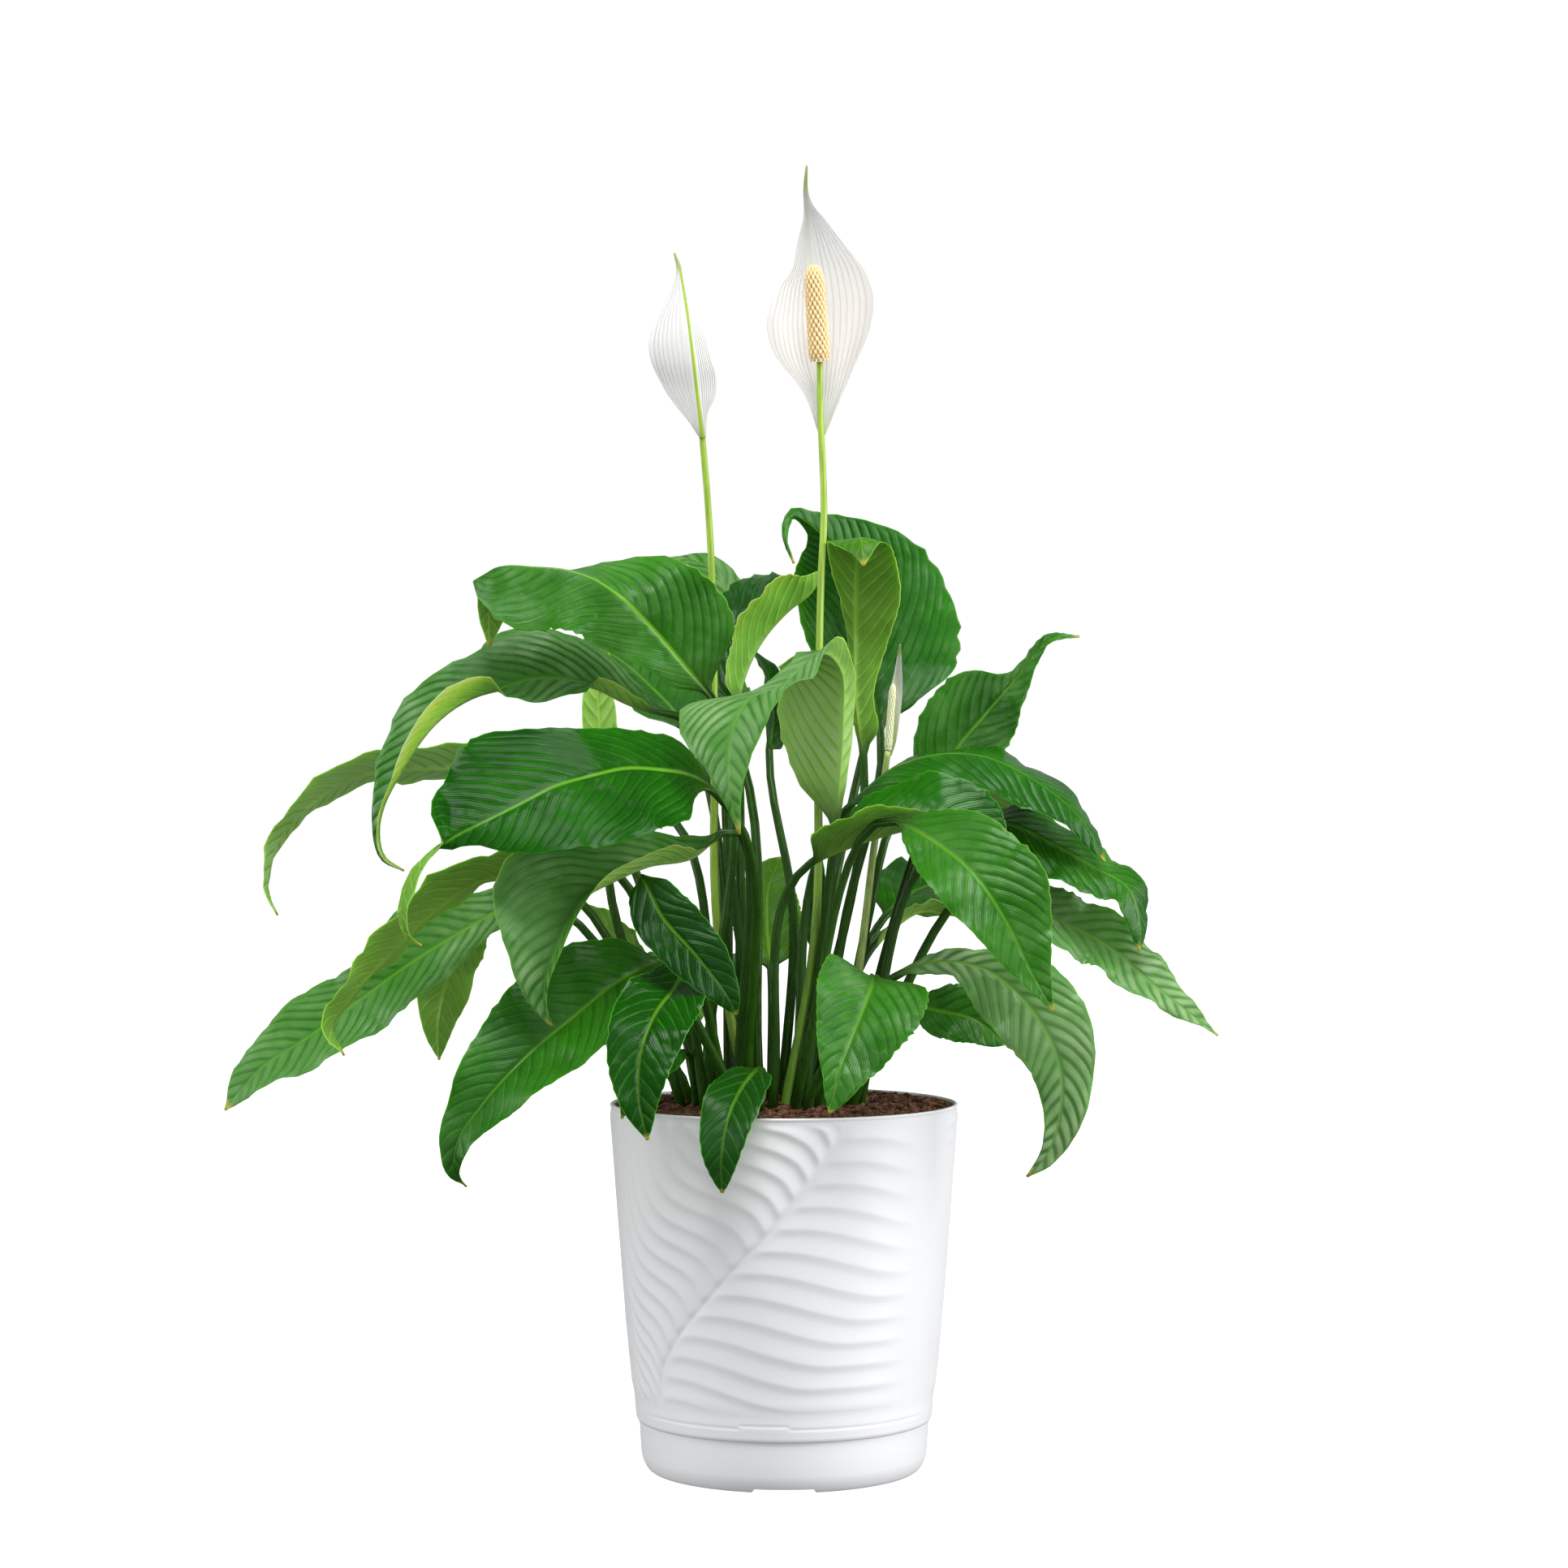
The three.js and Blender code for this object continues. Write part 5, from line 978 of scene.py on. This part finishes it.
# dark, light and rib greens of the top, its roughness and relief; then the same three of the underside,
# whose paler greens are partly its own colour and partly painted light for light shining through the leaf
LEAF_GREENS = {
    "deep": ((srgb(7, 56, 2), srgb(34, 108, 8), srgb(98, 158, 36), 0.26, 0.8),
             (srgb(92, 142, 44), srgb(122, 170, 66), srgb(138, 178, 66))),
    "mid": ((srgb(12, 68, 2), srgb(46, 118, 12), srgb(112, 170, 40), 0.27, 0.8),
            (srgb(102, 154, 48), srgb(136, 184, 74), srgb(150, 190, 72))),
    "pale": ((srgb(56, 112, 8), srgb(94, 152, 26), srgb(144, 188, 54), 0.38, 0.65),
             (srgb(104, 154, 48), srgb(134, 180, 68), srgb(156, 192, 74))),
}
UNDER_ROUGH = 0.5
UNDER_RELIEF = 0.9
LOOKS = {
    look: (leaf_look(f"leaf_{look}_top", *top),
           leaf_look(f"leaf_{look}_under", *under, UNDER_ROUGH, UNDER_RELIEF, True))
    for look, (top, under) in LEAF_GREENS.items()
}


def make_leaf(name, leaf):
    small = leaf.get("back") or leaf.get("width", SMALL_WIDTH) < SMALL_WIDTH
    verts, faces, picks, values = leaf_mesh(name, leaf, SMALL_ROWS if small else BLADE_ROWS)
    whole_leaf = {
        "tone": random.Random(name + "t").uniform(-0.3, 0.3) + SHEEN_AND_SHADE_TONES.get(name, 0),
        "shine": SHINE.get(name, 1.0),
        "ribline": 1.0 if name in PALE_RIBS else 0.55,
    }
    for key, value in whole_leaf.items():
        values[key] = np.full(len(verts), value)
    look = leaf["look"]
    make_piece(name + "_fine", verts, faces, LOOKS[look], picks, values, [name], "leaf_" + look)


for leaf_name, leaf_facts in LEAVES.items():
    make_leaf(leaf_name, leaf_facts)


# ---------------------------------------------------------------- flowers
KNOB_WIDTH = 2.6  # round the spadix
KNOB_ROW = 2.15  # from row to row of knobs


def stalk_mesh(flower):
    path = Path([np.array([*hole(*flower["hole"]), SOIL_Z - 4])] + [sheet(p) for p in flower["stalk"]], 6)
    rows, n = 60, 16
    angle = 2 * np.pi * np.arange(n) / n
    verts, far = [], []
    for i in range(rows + 1):
        s = path.total * i / rows
        right, top = square_to(path.way(s, 2), X_AXIS)
        radius = 2.4 - 0.9 * i / rows
        flute = radius * (1 + 0.05 * np.cos(5 * angle))
        verts.append(placed(path.at(s), right, top, flute * np.cos(angle), flute * np.sin(angle)))
        far.append(np.full(n, i / rows))
    return np.concatenate(verts), skin_faces(rows + 1, n), None, {"far": np.concatenate(far)}


def spadix_mesh(flower):
    """A club covered with domed knobs, in rows that are staggered by half a knob."""
    low, high = (sheet(p) for p in flower["spadix"])
    way = unit(high - low)
    length = np.linalg.norm(high - low)
    right, top = square_to(way, X_AXIS)
    size = flower["spadixRadius"]
    around = max(9, round(2 * math.pi * size / KNOB_WIDTH))
    knob_rows = round(length / KNOB_ROW)
    n, rows = around * 8, knob_rows * 7
    angle = 2 * np.pi * np.arange(n) / n
    verts, rise = [], []
    for i in range(rows + 1):
        t = i / rows
        round_off = math.sqrt(max(0.03, 1 - (max(0, t - 0.82) / 0.185) ** 2))
        base = size * (0.86 + 0.14 * float(smooth(0, 0.1, t))) * round_off * (1 - 0.1 * t)
        dome = np.zeros(n)
        for shift in (0, 1):
            v = t * knob_rows
            dv = v - (2 * np.round((v - shift) / 2) + shift)
            turn = angle * around / (2 * np.pi) + 0.5 * shift
            du = turn - np.round(turn)
            dome = np.maximum(dome, 1 - (du / 0.62) ** 2 - (dv / 1.05) ** 2)
        height = np.clip((dome - 0.4) / 0.6, 0, 1) ** 0.6
        radius = base * (0.81 + 0.24 * height)
        at = low + way * length * t
        verts.append(placed(at, right, top, radius * np.cos(angle), radius * np.sin(angle)))
        rise.append(height)
    return np.concatenate(verts), skin_faces(rows + 1, n), None, {"rise": np.concatenate(rise)}


def spathe_mesh(flower):
    path = Path([sheet(p) for p in flower["spathe"]], PATH_STEPS)
    side = unit(np.array([flower["head"][1], -flower["head"][0], 0.0]))
    rows = 70
    edges = []
    for key in ("right", "left"):
        line = smooth_line([np.array([a * 60, b]) for a, b in np.array(flower[key], float)], 12)
        edges.append((line[:, 0] / 60, line[:, 1]))
    verts = []
    values = {key: [] for key in ("vein", "rib", "far", "across")}
    for i in range(rows + 1):
        t = spaced(i, rows, 0.3)
        s = path.total * t
        right, top = square_to(path.way(s), side)
        cup = float(smooth(-0.1, 0.3, t))
        bend = np.radians(cup * (flower["fold"][0] + flower["fold"][1] * smooth(0.1, 0.9, STRIP)))[1:]
        xs, ys, widths = np.zeros(len(ACROSS)), np.zeros(len(ACROSS)), np.zeros(len(ACROSS))
        for k, way_out in enumerate((1, -1)):
            w = max(0.4, float(np.interp(t, *edges[k])))
            out_x, out_y = strip(bend, w)
            pick = ACROSS * way_out >= 0
            u = FROM_RIB[pick]
            xs[pick] = way_out * np.interp(u, STRIP, out_x)
            curl = 0.9 * math.sin(2 * math.pi * 1.4 * t + k) * math.sin(math.pi * t)
            ys[pick] = np.interp(u, STRIP, out_y) + curl * u**2
            widths[pick] = w
        u = FROM_RIB
        body = 0.35 * np.sqrt(np.clip(1 - u**2, 0, 1))
        keel = 0.9 * (1 - 0.6 * t) * np.exp(-((u * widths / 1.1) ** 2))
        flat_y = there_and_back(ys + body, ys - body - keel)
        verts.append(placed(path.at(s), right, top, there_and_back(xs, xs), flat_y))
        values["vein"].append(RING * 7.5 * (1 + 0.25 * math.sin(math.pi * t)))
        values["rib"].append(np.abs(RING) * there_and_back(widths, widths) / (1.3 * (1 - 0.5 * t)))
        values["far"].append(np.full(len(RING), t))
        values["across"].append(np.abs(RING))
    return np.concatenate(verts), skin_faces(rows + 1, len(RING)), side_picks(rows), joined(values)


WHITE = (0.72, 0.71, 0.69, 1)
# painted light: spathe_2's back is painted whiter than WHITE, standing in for the light it gets
BACK_WHITE = (0.98, 0.975, 0.965, 1)
BUD_WHITE = (0.9, 0.93, 0.8, 1)
BUD_FOOT = (srgb(172, 200, 82), 0.6)
# each: the stalk, the spadix, and the spathe's face and back
FLOWER_LOOKS = {
    "flower_1": (
        stalk_look("stalk_bright", srgb(96, 146, 34), srgb(176, 208, 76)),
        spadix_look("spadix_cream", srgb(176, 126, 56), srgb(238, 208, 150), srgb(250, 240, 212)),
        spathe_look("spathe_1_face", WHITE, srgb(214, 220, 176), 0.4, srgb(196, 210, 150)),
        spathe_look("spathe_1_back", WHITE, srgb(150, 186, 70), 0.9, srgb(190, 206, 130)),
    ),
    "flower_2": (
        stalk_look("stalk_yellow", srgb(120, 160, 44), srgb(158, 194, 52)),
        spadix_look("spadix_ivory", srgb(166, 136, 68), srgb(230, 208, 150), srgb(244, 232, 196)),
        spathe_look("spathe_2_face", WHITE, srgb(214, 220, 176), 0.4, srgb(196, 210, 150)),
        spathe_look("spathe_2_back", BACK_WHITE, srgb(166, 196, 54), 1.0, srgb(196, 212, 130)),
    ),
    "flower_3": (
        stalk_look("stalk_pale", srgb(120, 158, 60), srgb(190, 210, 120)),
        spadix_look("spadix_green", srgb(190, 198, 120), srgb(232, 236, 192), srgb(250, 250, 232)),
        spathe_look("spathe_3_face", BUD_WHITE, srgb(206, 218, 150), 0.6, *BUD_FOOT),
        spathe_look("spathe_3_back", BUD_WHITE, srgb(190, 210, 110), 1.0, *BUD_FOOT),
    ),
}


def make_flower(name, flower):
    stalk, spadix, face, back = FLOWER_LOOKS[name]
    parts = (
        ("stalk", [stalk], stalk_mesh(flower)),
        ("spadix", [spadix], spadix_mesh(flower)),
        ("spathe", [face, back], spathe_mesh(flower)),
    )
    for part, mats, (verts, faces, picks, values) in parts:
        make_piece(f"{name}_{part}_fine", verts, faces, mats, picks, values, [f"{name}_{part}"], part)


for flower_name, flower_facts in FLOWERS.items():
    make_flower(flower_name, flower_facts)


# ---------------------------------------------------------------- pot
UNROLL = 80.0  # the ornament is laid out on the pot's side, unrolled at this radius
PANEL_EDGE = math.radians(112)  # from the front to the ornament's left end
LEFT_PITCH = 8.2  # of the side ribs, along the main rib
RIGHT_PITCH = 10.5
RIB_DIP = 12.6  # how far a side rib on the right dips
LOWEST_FOOT = -110.0  # the side ribs on the left start this low, under the pot
RIB_X = [(z, math.radians(a) * UNROLL) for z, a in ((-120, -92),) + MAIN_RIB + ((300, 78),)]
CLIMB = smooth_line([np.array(p, float) for p in (
    (0, 0), (5.1, 8.8), (12.8, 13.9), (23.4, 17.6), (34.5, 21.4), (42, 25.2), (48.4, 31.5), (52.5, 40.3),
    (55, 50.4), (57, 75), (58.5, 120), (60, 260))], 10)
POT_COLUMNS = 480
POT_ROW = 0.85  # height of a row of the pot's side
SKIRT_ROWS = 30  # finer rows of SKIRT_ROW, low on the pot
SKIRT_ROW = 0.6
LIP = ((0.0, -0.9), (-0.12, -0.45), (-0.5, -0.12), (-1.1, 0), (-1.7, -0.12), (-2.08, -0.45), (-2.2, -0.9))
INSIDE_Z = (172, 160, 120, 80, 50, POT_FLOOR_Z + POT_FLOOR)
SKIRT_GAP = 0.35  # between the skirt and the saucer
PLATE_RADIUS = DRAIN_CIRCLE + 18.2  # of the round plate with the drain holes
PLATE_SEAT = DRAIN_CIRCLE + 18  # the wall's floor reaches in this far
DRAIN_HOLES = 6
NOTCHES = 3


def shingle(phase):
    """Lapped ribs: from each crest the surface sinks gently upward, then steps out under the next crest."""
    part = phase % 1
    gentle = 1 - smooth(-0.25, 0.68, part)
    steep = np.clip((part - 0.66) / 0.34, 0, 1) ** 1.5
    start = 1 - float(smooth(-0.25, 0.68, 0.0))
    return np.where(part < 0.66, gentle / start, steep)


def halved(low, high, over, rounds):
    """Where between low and high over(value) turns true, over arrays."""
    for _ in range(rounds):
        middle = (low + high) / 2
        past = over(middle)
        low, high = np.where(past, low, middle), np.where(past, middle, high)
    return low


def relief(angle, z):
    """How far the ornament stands out, in mm, over arrays of the angle from the front and the height."""
    angle = (angle + PANEL_EDGE) % math.pi - PANEL_EDGE
    x = angle * UNROLL
    rib_here = along(RIB_X, z)

    def left_rib_over(foot):
        """On the left the ribs climb away from the main rib, each on one curve from its foot."""
        reach = 0.4 + 0.6 * smooth(10, 115, foot)
        return z - foot - np.interp((along(RIB_X, foot) - x) / reach, CLIMB[:, 0], CLIMB[:, 1]) <= 0

    def right_rib_over(foot):
        """On the right they run level, then dip."""
        return foot - RIB_DIP * smooth(12, 80, x - along(RIB_X, foot)) - z > 0

    ribs_left = shingle(halved(np.full_like(z, LOWEST_FOOT), z, left_rib_over, 40) / LEFT_PITCH)
    ribs_right = shingle(halved(z, z + 20, right_rib_over, 30) / RIGHT_PITCH)
    near = np.abs(x - rib_here)
    turn = np.degrees(angle)
    left_depth = 0.8 * smooth(0, 4, near) * (1 - 0.1 * smooth(40, 90, near)) * smooth(-112, -100, turn)
    right_depth = 0.5 * smooth(0, 7, near) * (1 - smooth(30, 54, turn))
    height = np.where(x < rib_here, ribs_left * left_depth, ribs_right * right_depth)
    crease = 0.3 * np.exp(-(near**2)) * smooth(150, 120, z)
    return (height - crease) * smooth(36, 44, z) * smooth(POT_HEIGHT - 2.4, POT_HEIGHT - 6, z) - 0.3


def make_pot(mat):
    angle = 2 * np.pi * np.arange(POT_COLUMNS) / POT_COLUMNS
    front = (-angle + np.pi) % (2 * np.pi) - np.pi
    rows = []

    def ring(radius, z):
        xs, ys = radius * np.sin(-angle), -radius * np.cos(-angle)
        rows.append(np.stack([xs, ys, np.full(POT_COLUMNS, z)], axis=1))

    heights = [SKIRT_Z + SKIRT_ROW * k for k in range(SKIRT_ROWS)]
    heights += list(np.arange(heights[-1] + POT_ROW, POT_HEIGHT - 1.2, POT_ROW))
    for z in heights:
        edge = 0.8 * (1 - float(smooth(0, 1.2, z - SKIRT_Z)))
        jog = np.where(np.abs(front + 0.13) < 0.16, 1.4, 0.0)
        seam = 0.3 * np.exp(-(((z - 31.2 - jog) / 0.5) ** 2)) * smooth(1.2, 0.95, np.abs(front))
        grown = float(smooth(SKIRT_Z + 5, SKIRT_Z + 12, z))
        out = relief(front, np.full(POT_COLUMNS, float(z))) * grown - seam
        ring(float(along(POT_PROFILE, z)) + out - edge * 0.5, z)
    for step_in, step_up in LIP:
        ring(RIM_RADIUS + step_in, POT_HEIGHT + step_up)
    for z in INSIDE_Z:
        ring(float(along(POT_PROFILE, z)) - POT_WALL, z)
    ring(PLATE_SEAT, POT_FLOOR_Z + POT_FLOOR)
    ring(PLATE_SEAT, POT_FLOOR_Z)
    ring(SAUCER_RADIUS + SKIRT_GAP, POT_FLOOR_Z)
    ring(SAUCER_RADIUS + SKIRT_GAP, SKIRT_Z)
    rings = numbered(len(rows), POT_COLUMNS)
    faces = ring_faces(rings + rings[:1])
    wall = make_piece("pot_fine", np.concatenate(rows), faces, [mat], nodes=["pot"], slot="white_plastic")
    fix_normals(wall.data)

    low, high, radius = POT_FLOOR_Z, POT_FLOOR_Z + POT_FLOOR, PLATE_RADIUS
    outline = ((0, low), (radius - 0.3, low), (radius, low + 0.3), (radius, high - 0.3),
               (radius - 0.3, high), (0, high))
    floor = turned_piece("pot_floor", outline, 96, mat)
    cutters = []
    for k in range(DRAIN_HOLES):
        a = math.pi / 3 * k + 0.3
        x, y = DRAIN_CIRCLE * math.cos(a), DRAIN_CIRCLE * math.sin(a)
        cutters.append(rod(DRAIN_RADIUS, low - 2, high + 2, x, y))
    cut(floor, cutters)


def fix_normals(mesh):
    bm = bmesh.new()
    bm.from_mesh(mesh)
    bmesh.ops.recalc_face_normals(bm, faces=bm.faces)
    bm.to_mesh(mesh)
    bm.free()


def turned_mesh(outline, columns):
    """A mesh turned from a line of (radius, height). A height may be a function of x and y."""
    verts, rings = [], []
    for radius, height in outline:
        start, sides = len(verts), columns if radius else 1
        for k in range(sides):
            a = 2 * math.pi * k / columns
            x, y = radius * math.cos(a), radius * math.sin(a)
            verts.append((x, y, height(x, y) if callable(height) else height))
        rings.append([start + k % sides for k in range(columns)])
    return verts, ring_faces(rings)


def turned_piece(name, outline, columns, mat, nodes=(), slot=None):
    piece = make_piece(name, *turned_mesh(outline, columns), [mat], nodes=nodes, slot=slot)
    fix_normals(piece.data)
    return piece


def make_cutter(verts, faces):
    mesh = bpy.data.meshes.new("cutter")
    mesh.from_pydata([tuple(c / 1000 for c in v) for v in verts], [], faces)
    fix_normals(mesh)
    return add_object("cutter", mesh)


def rod(radius, z0, z1, x, y):
    sides = 32
    angle = [2 * math.pi * k / sides for k in range(sides)]
    verts = [(x + radius * math.cos(a), y + radius * math.sin(a), z) for z in (z0, z1) for a in angle]
    low, high = numbered(2, sides)
    faces = [(k, (k + 1) % sides, sides + (k + 1) % sides, sides + k) for k in range(sides)]
    return make_cutter(verts, faces + [tuple(reversed(low)), high])


def cut(piece, cutters):
    """Cuts each cutter out of the piece, and keeps the result as the piece's own mesh."""
    for cutter in cutters:
        modifier = piece.modifiers.new("cut", "BOOLEAN")
        modifier.operation = "DIFFERENCE"
        modifier.solver = "EXACT"
        modifier.object = cutter
    graph = bpy.context.evaluated_depsgraph_get()
    mesh = bpy.data.meshes.new_from_object(piece.evaluated_get(graph))
    piece.modifiers.clear()
    piece.data = mesh
    for cutter in cutters:
        bpy.data.objects.remove(cutter)


def make_saucer(mat):
    inner = SAUCER_RADIUS - SAUCER_WALL
    outline = (
        (0, 0), (PAD_RADIUS, 0), (PAD_RADIUS + 1, 3.2), (FOOT_RADIUS - 6, 3.2), (FOOT_RADIUS - 6, 0.3),
        (FOOT_RADIUS - 5.7, 0), (FOOT_RADIUS - 2, 0), (FOOT_RADIUS - 0.6, 0.35), (FOOT_RADIUS + 0.6, 1.2),
        (67.6, 2.6), (68.5, 4.4), (69.2, 6.4), (69.6, 8.6), (70.1, 16), (SAUCER_RADIUS, 24),
        (SAUCER_RADIUS, SAUCER_TOP_Z - 0.3), (SAUCER_RADIUS - 0.3, SAUCER_TOP_Z),
        (inner + 0.3, SAUCER_TOP_Z), (inner, SAUCER_TOP_Z - 0.3), (69.6 - SAUCER_WALL, 9), (66, 6.8),
        (FOOT_RADIUS - 2, 5.7), (FOOT_RADIUS - 6, 5.6), (0, 5.6),
    )
    saucer = turned_piece("saucer_fine", outline, 240, mat, ["saucer"])
    half = NOTCH_WIDTH / 2
    side = ((-half, -1), (half, -1), (half - 2, NOTCH_HEIGHT), (2 - half, NOTCH_HEIGHT))
    faces = [(0, 1, 2, 3), (7, 6, 5, 4), (0, 4, 5, 1), (1, 5, 6, 2), (2, 6, 7, 3), (3, 7, 4, 0)]
    cutters = []
    for k in range(NOTCHES):
        turn = 2 * math.pi * k / NOTCHES
        c, s = math.cos(turn), math.sin(turn)
        verts = [(x * c - y * s, x * s + y * c, z) for y in (-52, -74) for x, z in side]
        cutters.append(make_cutter(verts, faces))
    cut(saucer, cutters)


PLASTIC = plastic_look()
make_pot(PLASTIC)
make_saucer(PLASTIC)

# ---------------------------------------------------------------- soil
CRUMB_REACH = 80.5  # how far from the axis crumbs lie
GOLDEN = 1.618
BALL = (
    (-1, 0, GOLDEN), (1, 0, GOLDEN), (-1, 0, -GOLDEN), (1, 0, -GOLDEN), (0, GOLDEN, 1), (0, GOLDEN, -1),
    (0, -GOLDEN, 1), (0, -GOLDEN, -1), (GOLDEN, 1, 0), (-GOLDEN, 1, 0), (GOLDEN, -1, 0), (-GOLDEN, -1, 0),
)
BALL_FACES = (
    (1, 4, 0), (4, 9, 0), (4, 5, 9), (8, 5, 4), (1, 8, 4), (1, 10, 8), (10, 3, 8), (8, 3, 5), (3, 2, 5),
    (3, 7, 2), (3, 10, 7), (10, 6, 7), (6, 11, 7), (6, 0, 11), (6, 1, 0), (10, 1, 6), (11, 0, 9),
    (2, 11, 9), (5, 2, 9), (11, 2, 7),
)


def soil_height(x, y):
    r = math.hypot(x, y)
    mound = 1.2 * (1 - min(1, r / 60) ** 2) + 1.5 * float(smooth(66, 81, r))
    p = Vector((x, y, 0))
    height = SOIL_Z + mound
    for lumps, fineness in ((1.1, 0.16), (0.7, 0.45), (0.35, 1.1)):
        height += lumps * noise.noise(p * fineness)
    return height


def make_soil(look):
    wall = float(along(POT_PROFILE, SOIL_Z)) - POT_WALL - 0.5
    rings, foot_z = 70, 34
    outline = [(wall * (i / rings) ** 0.85, soil_height) for i in range(rings + 1)]
    foot = float(along(POT_PROFILE, foot_z)) - 4
    outline += [(wall - 2, 165), (wall - 12, 60), (foot, foot_z), (0, foot_z)]
    turned_piece("soil_fine", outline, 220, look, ["soil"], "soil")


def make_crumbs(name, count, sizes, look, seed):
    """Loose bits lying on the soil, each a small rough lump, joined in one piece."""
    rng = random.Random(seed)
    verts, faces = [], []
    for _ in range(count):
        r = CRUMB_REACH * math.sqrt(rng.random())
        a = rng.uniform(0, 2 * math.pi)
        x, y = r * math.cos(a), r * math.sin(a)
        length = rng.uniform(*sizes)
        size = Vector((length, length * rng.uniform(0.35, 0.8), length * rng.uniform(0.25, 0.5)))
        turn = Vector((rng.uniform(-0.5, 0.5), rng.uniform(-0.5, 0.5), rng.uniform(0, ROUND)))
        spin = Euler(turn).to_matrix()
        faces += [tuple(len(verts) + i for i in face) for face in BALL_FACES]
        at = Vector((x, y, soil_height(x, y) + size.z * 0.25))
        for p in BALL:
            q = Vector(p) / 1.9
            q *= rng.uniform(0.75, 1.2)
            verts.append(tuple(at + spin @ Vector((q.x * size.x, q.y * size.y, q.z * size.z))))
    make_piece(name, verts, faces, [look], slot="soil", flat=True)


make_soil(soil_look("soil", srgb(66, 34, 18), srgb(146, 88, 54), 420))
make_crumbs("soil_bark", 650, (1.6, 4.2), soil_look("bark", srgb(70, 40, 24), srgb(140, 92, 60), 500), 3)
make_crumbs("soil_peat", 900, (0.8, 2.2), soil_look("peat", srgb(42, 24, 14), srgb(98, 62, 40), 600), 5)

# ---------------------------------------------------------------- floor, light and camera
FLOOR_RADIUS = 9  # metres, as are the places and sizes of the lights
PHOTO_SIZE = 1932
SENSOR = 36  # mm, as is the lens
AIM = Vector((0, 0, 0.3))


def make_floor():
    mesh = bpy.data.meshes.new("floor")
    verts, faces = turned_mesh([(0, 0), (FLOOR_RADIUS, 0)], 96)
    mesh.from_pydata(verts, [], faces)
    k = Look("floor", 0.8)
    k.shader.inputs["Emission Color"].default_value = (1, 1, 1, 1)
    k.shader.inputs["Emission Strength"].default_value = 1.0
    k.finish(k.mix(k.ramp(k.noise(3, 2), 0.3, 0.7), (0.8, 0.8, 0.8, 1), (0.82, 0.82, 0.82, 1)))
    mesh.materials.append(k.mat)
    floor = add_object("floor", mesh)
    floor.visible_diffuse = False
    floor.visible_glossy = False


def make_light(name, place, size, power):
    data = bpy.data.lights.new(name, "AREA")
    data.shape = "RECTANGLE"
    data.size = size
    data.size_y = size
    data.energy = power
    light = add_object(name, data)
    light.location = place
    light.rotation_mode = "QUATERNION"
    light.rotation_quaternion = (AIM - Vector(place)).to_track_quat("-Z", "Y")


def make_world():
    """White to the eye, and a dimmer even light on the plant."""
    world = bpy.data.worlds.new("studio")
    bpy.context.scene.world = world
    world.use_nodes = True
    nodes, links = world.node_tree.nodes, world.node_tree.links
    back = nodes["Background"]
    back.inputs["Color"].default_value = (1, 1, 1, 1)
    path = nodes.new("ShaderNodeLightPath")
    level = nodes.new("ShaderNodeMapRange")
    level.inputs["To Min"].default_value = 0.34
    level.inputs["To Max"].default_value = 1.02
    links.new(path.outputs["Is Camera Ray"], level.inputs["Value"])
    links.new(level.outputs[0], back.inputs["Strength"])


def make_camera():
    data = bpy.data.cameras.new("camera")
    data.sensor_width = SENSOR
    data.lens = SENSOR * EYE_UNITS / PHOTO_SIZE
    data.clip_start = 0.05
    data.clip_end = 60
    camera = add_object("camera", data)
    camera.location = (0, -EYE_DISTANCE / 1000, EYE_HEIGHT / 1000)
    camera.rotation_euler = (math.pi / 2, 0, 0)
    bpy.context.scene.camera = camera


make_floor()
make_world()
make_camera()
make_light("right", (1.9, -0.5, 0.9), 1.5, 43)
make_light("left", (-1.9, -0.3, 0.9), 1.5, 26)
make_light("top", (0.1, -0.9, 2.1), 1.0, 34)
make_light("front", (0.5, -2.8, 0.7), 1.6, 10)
bpy.context.scene.view_settings.view_transform = "Standard"
bpy.context.scene.view_settings.look = "None"
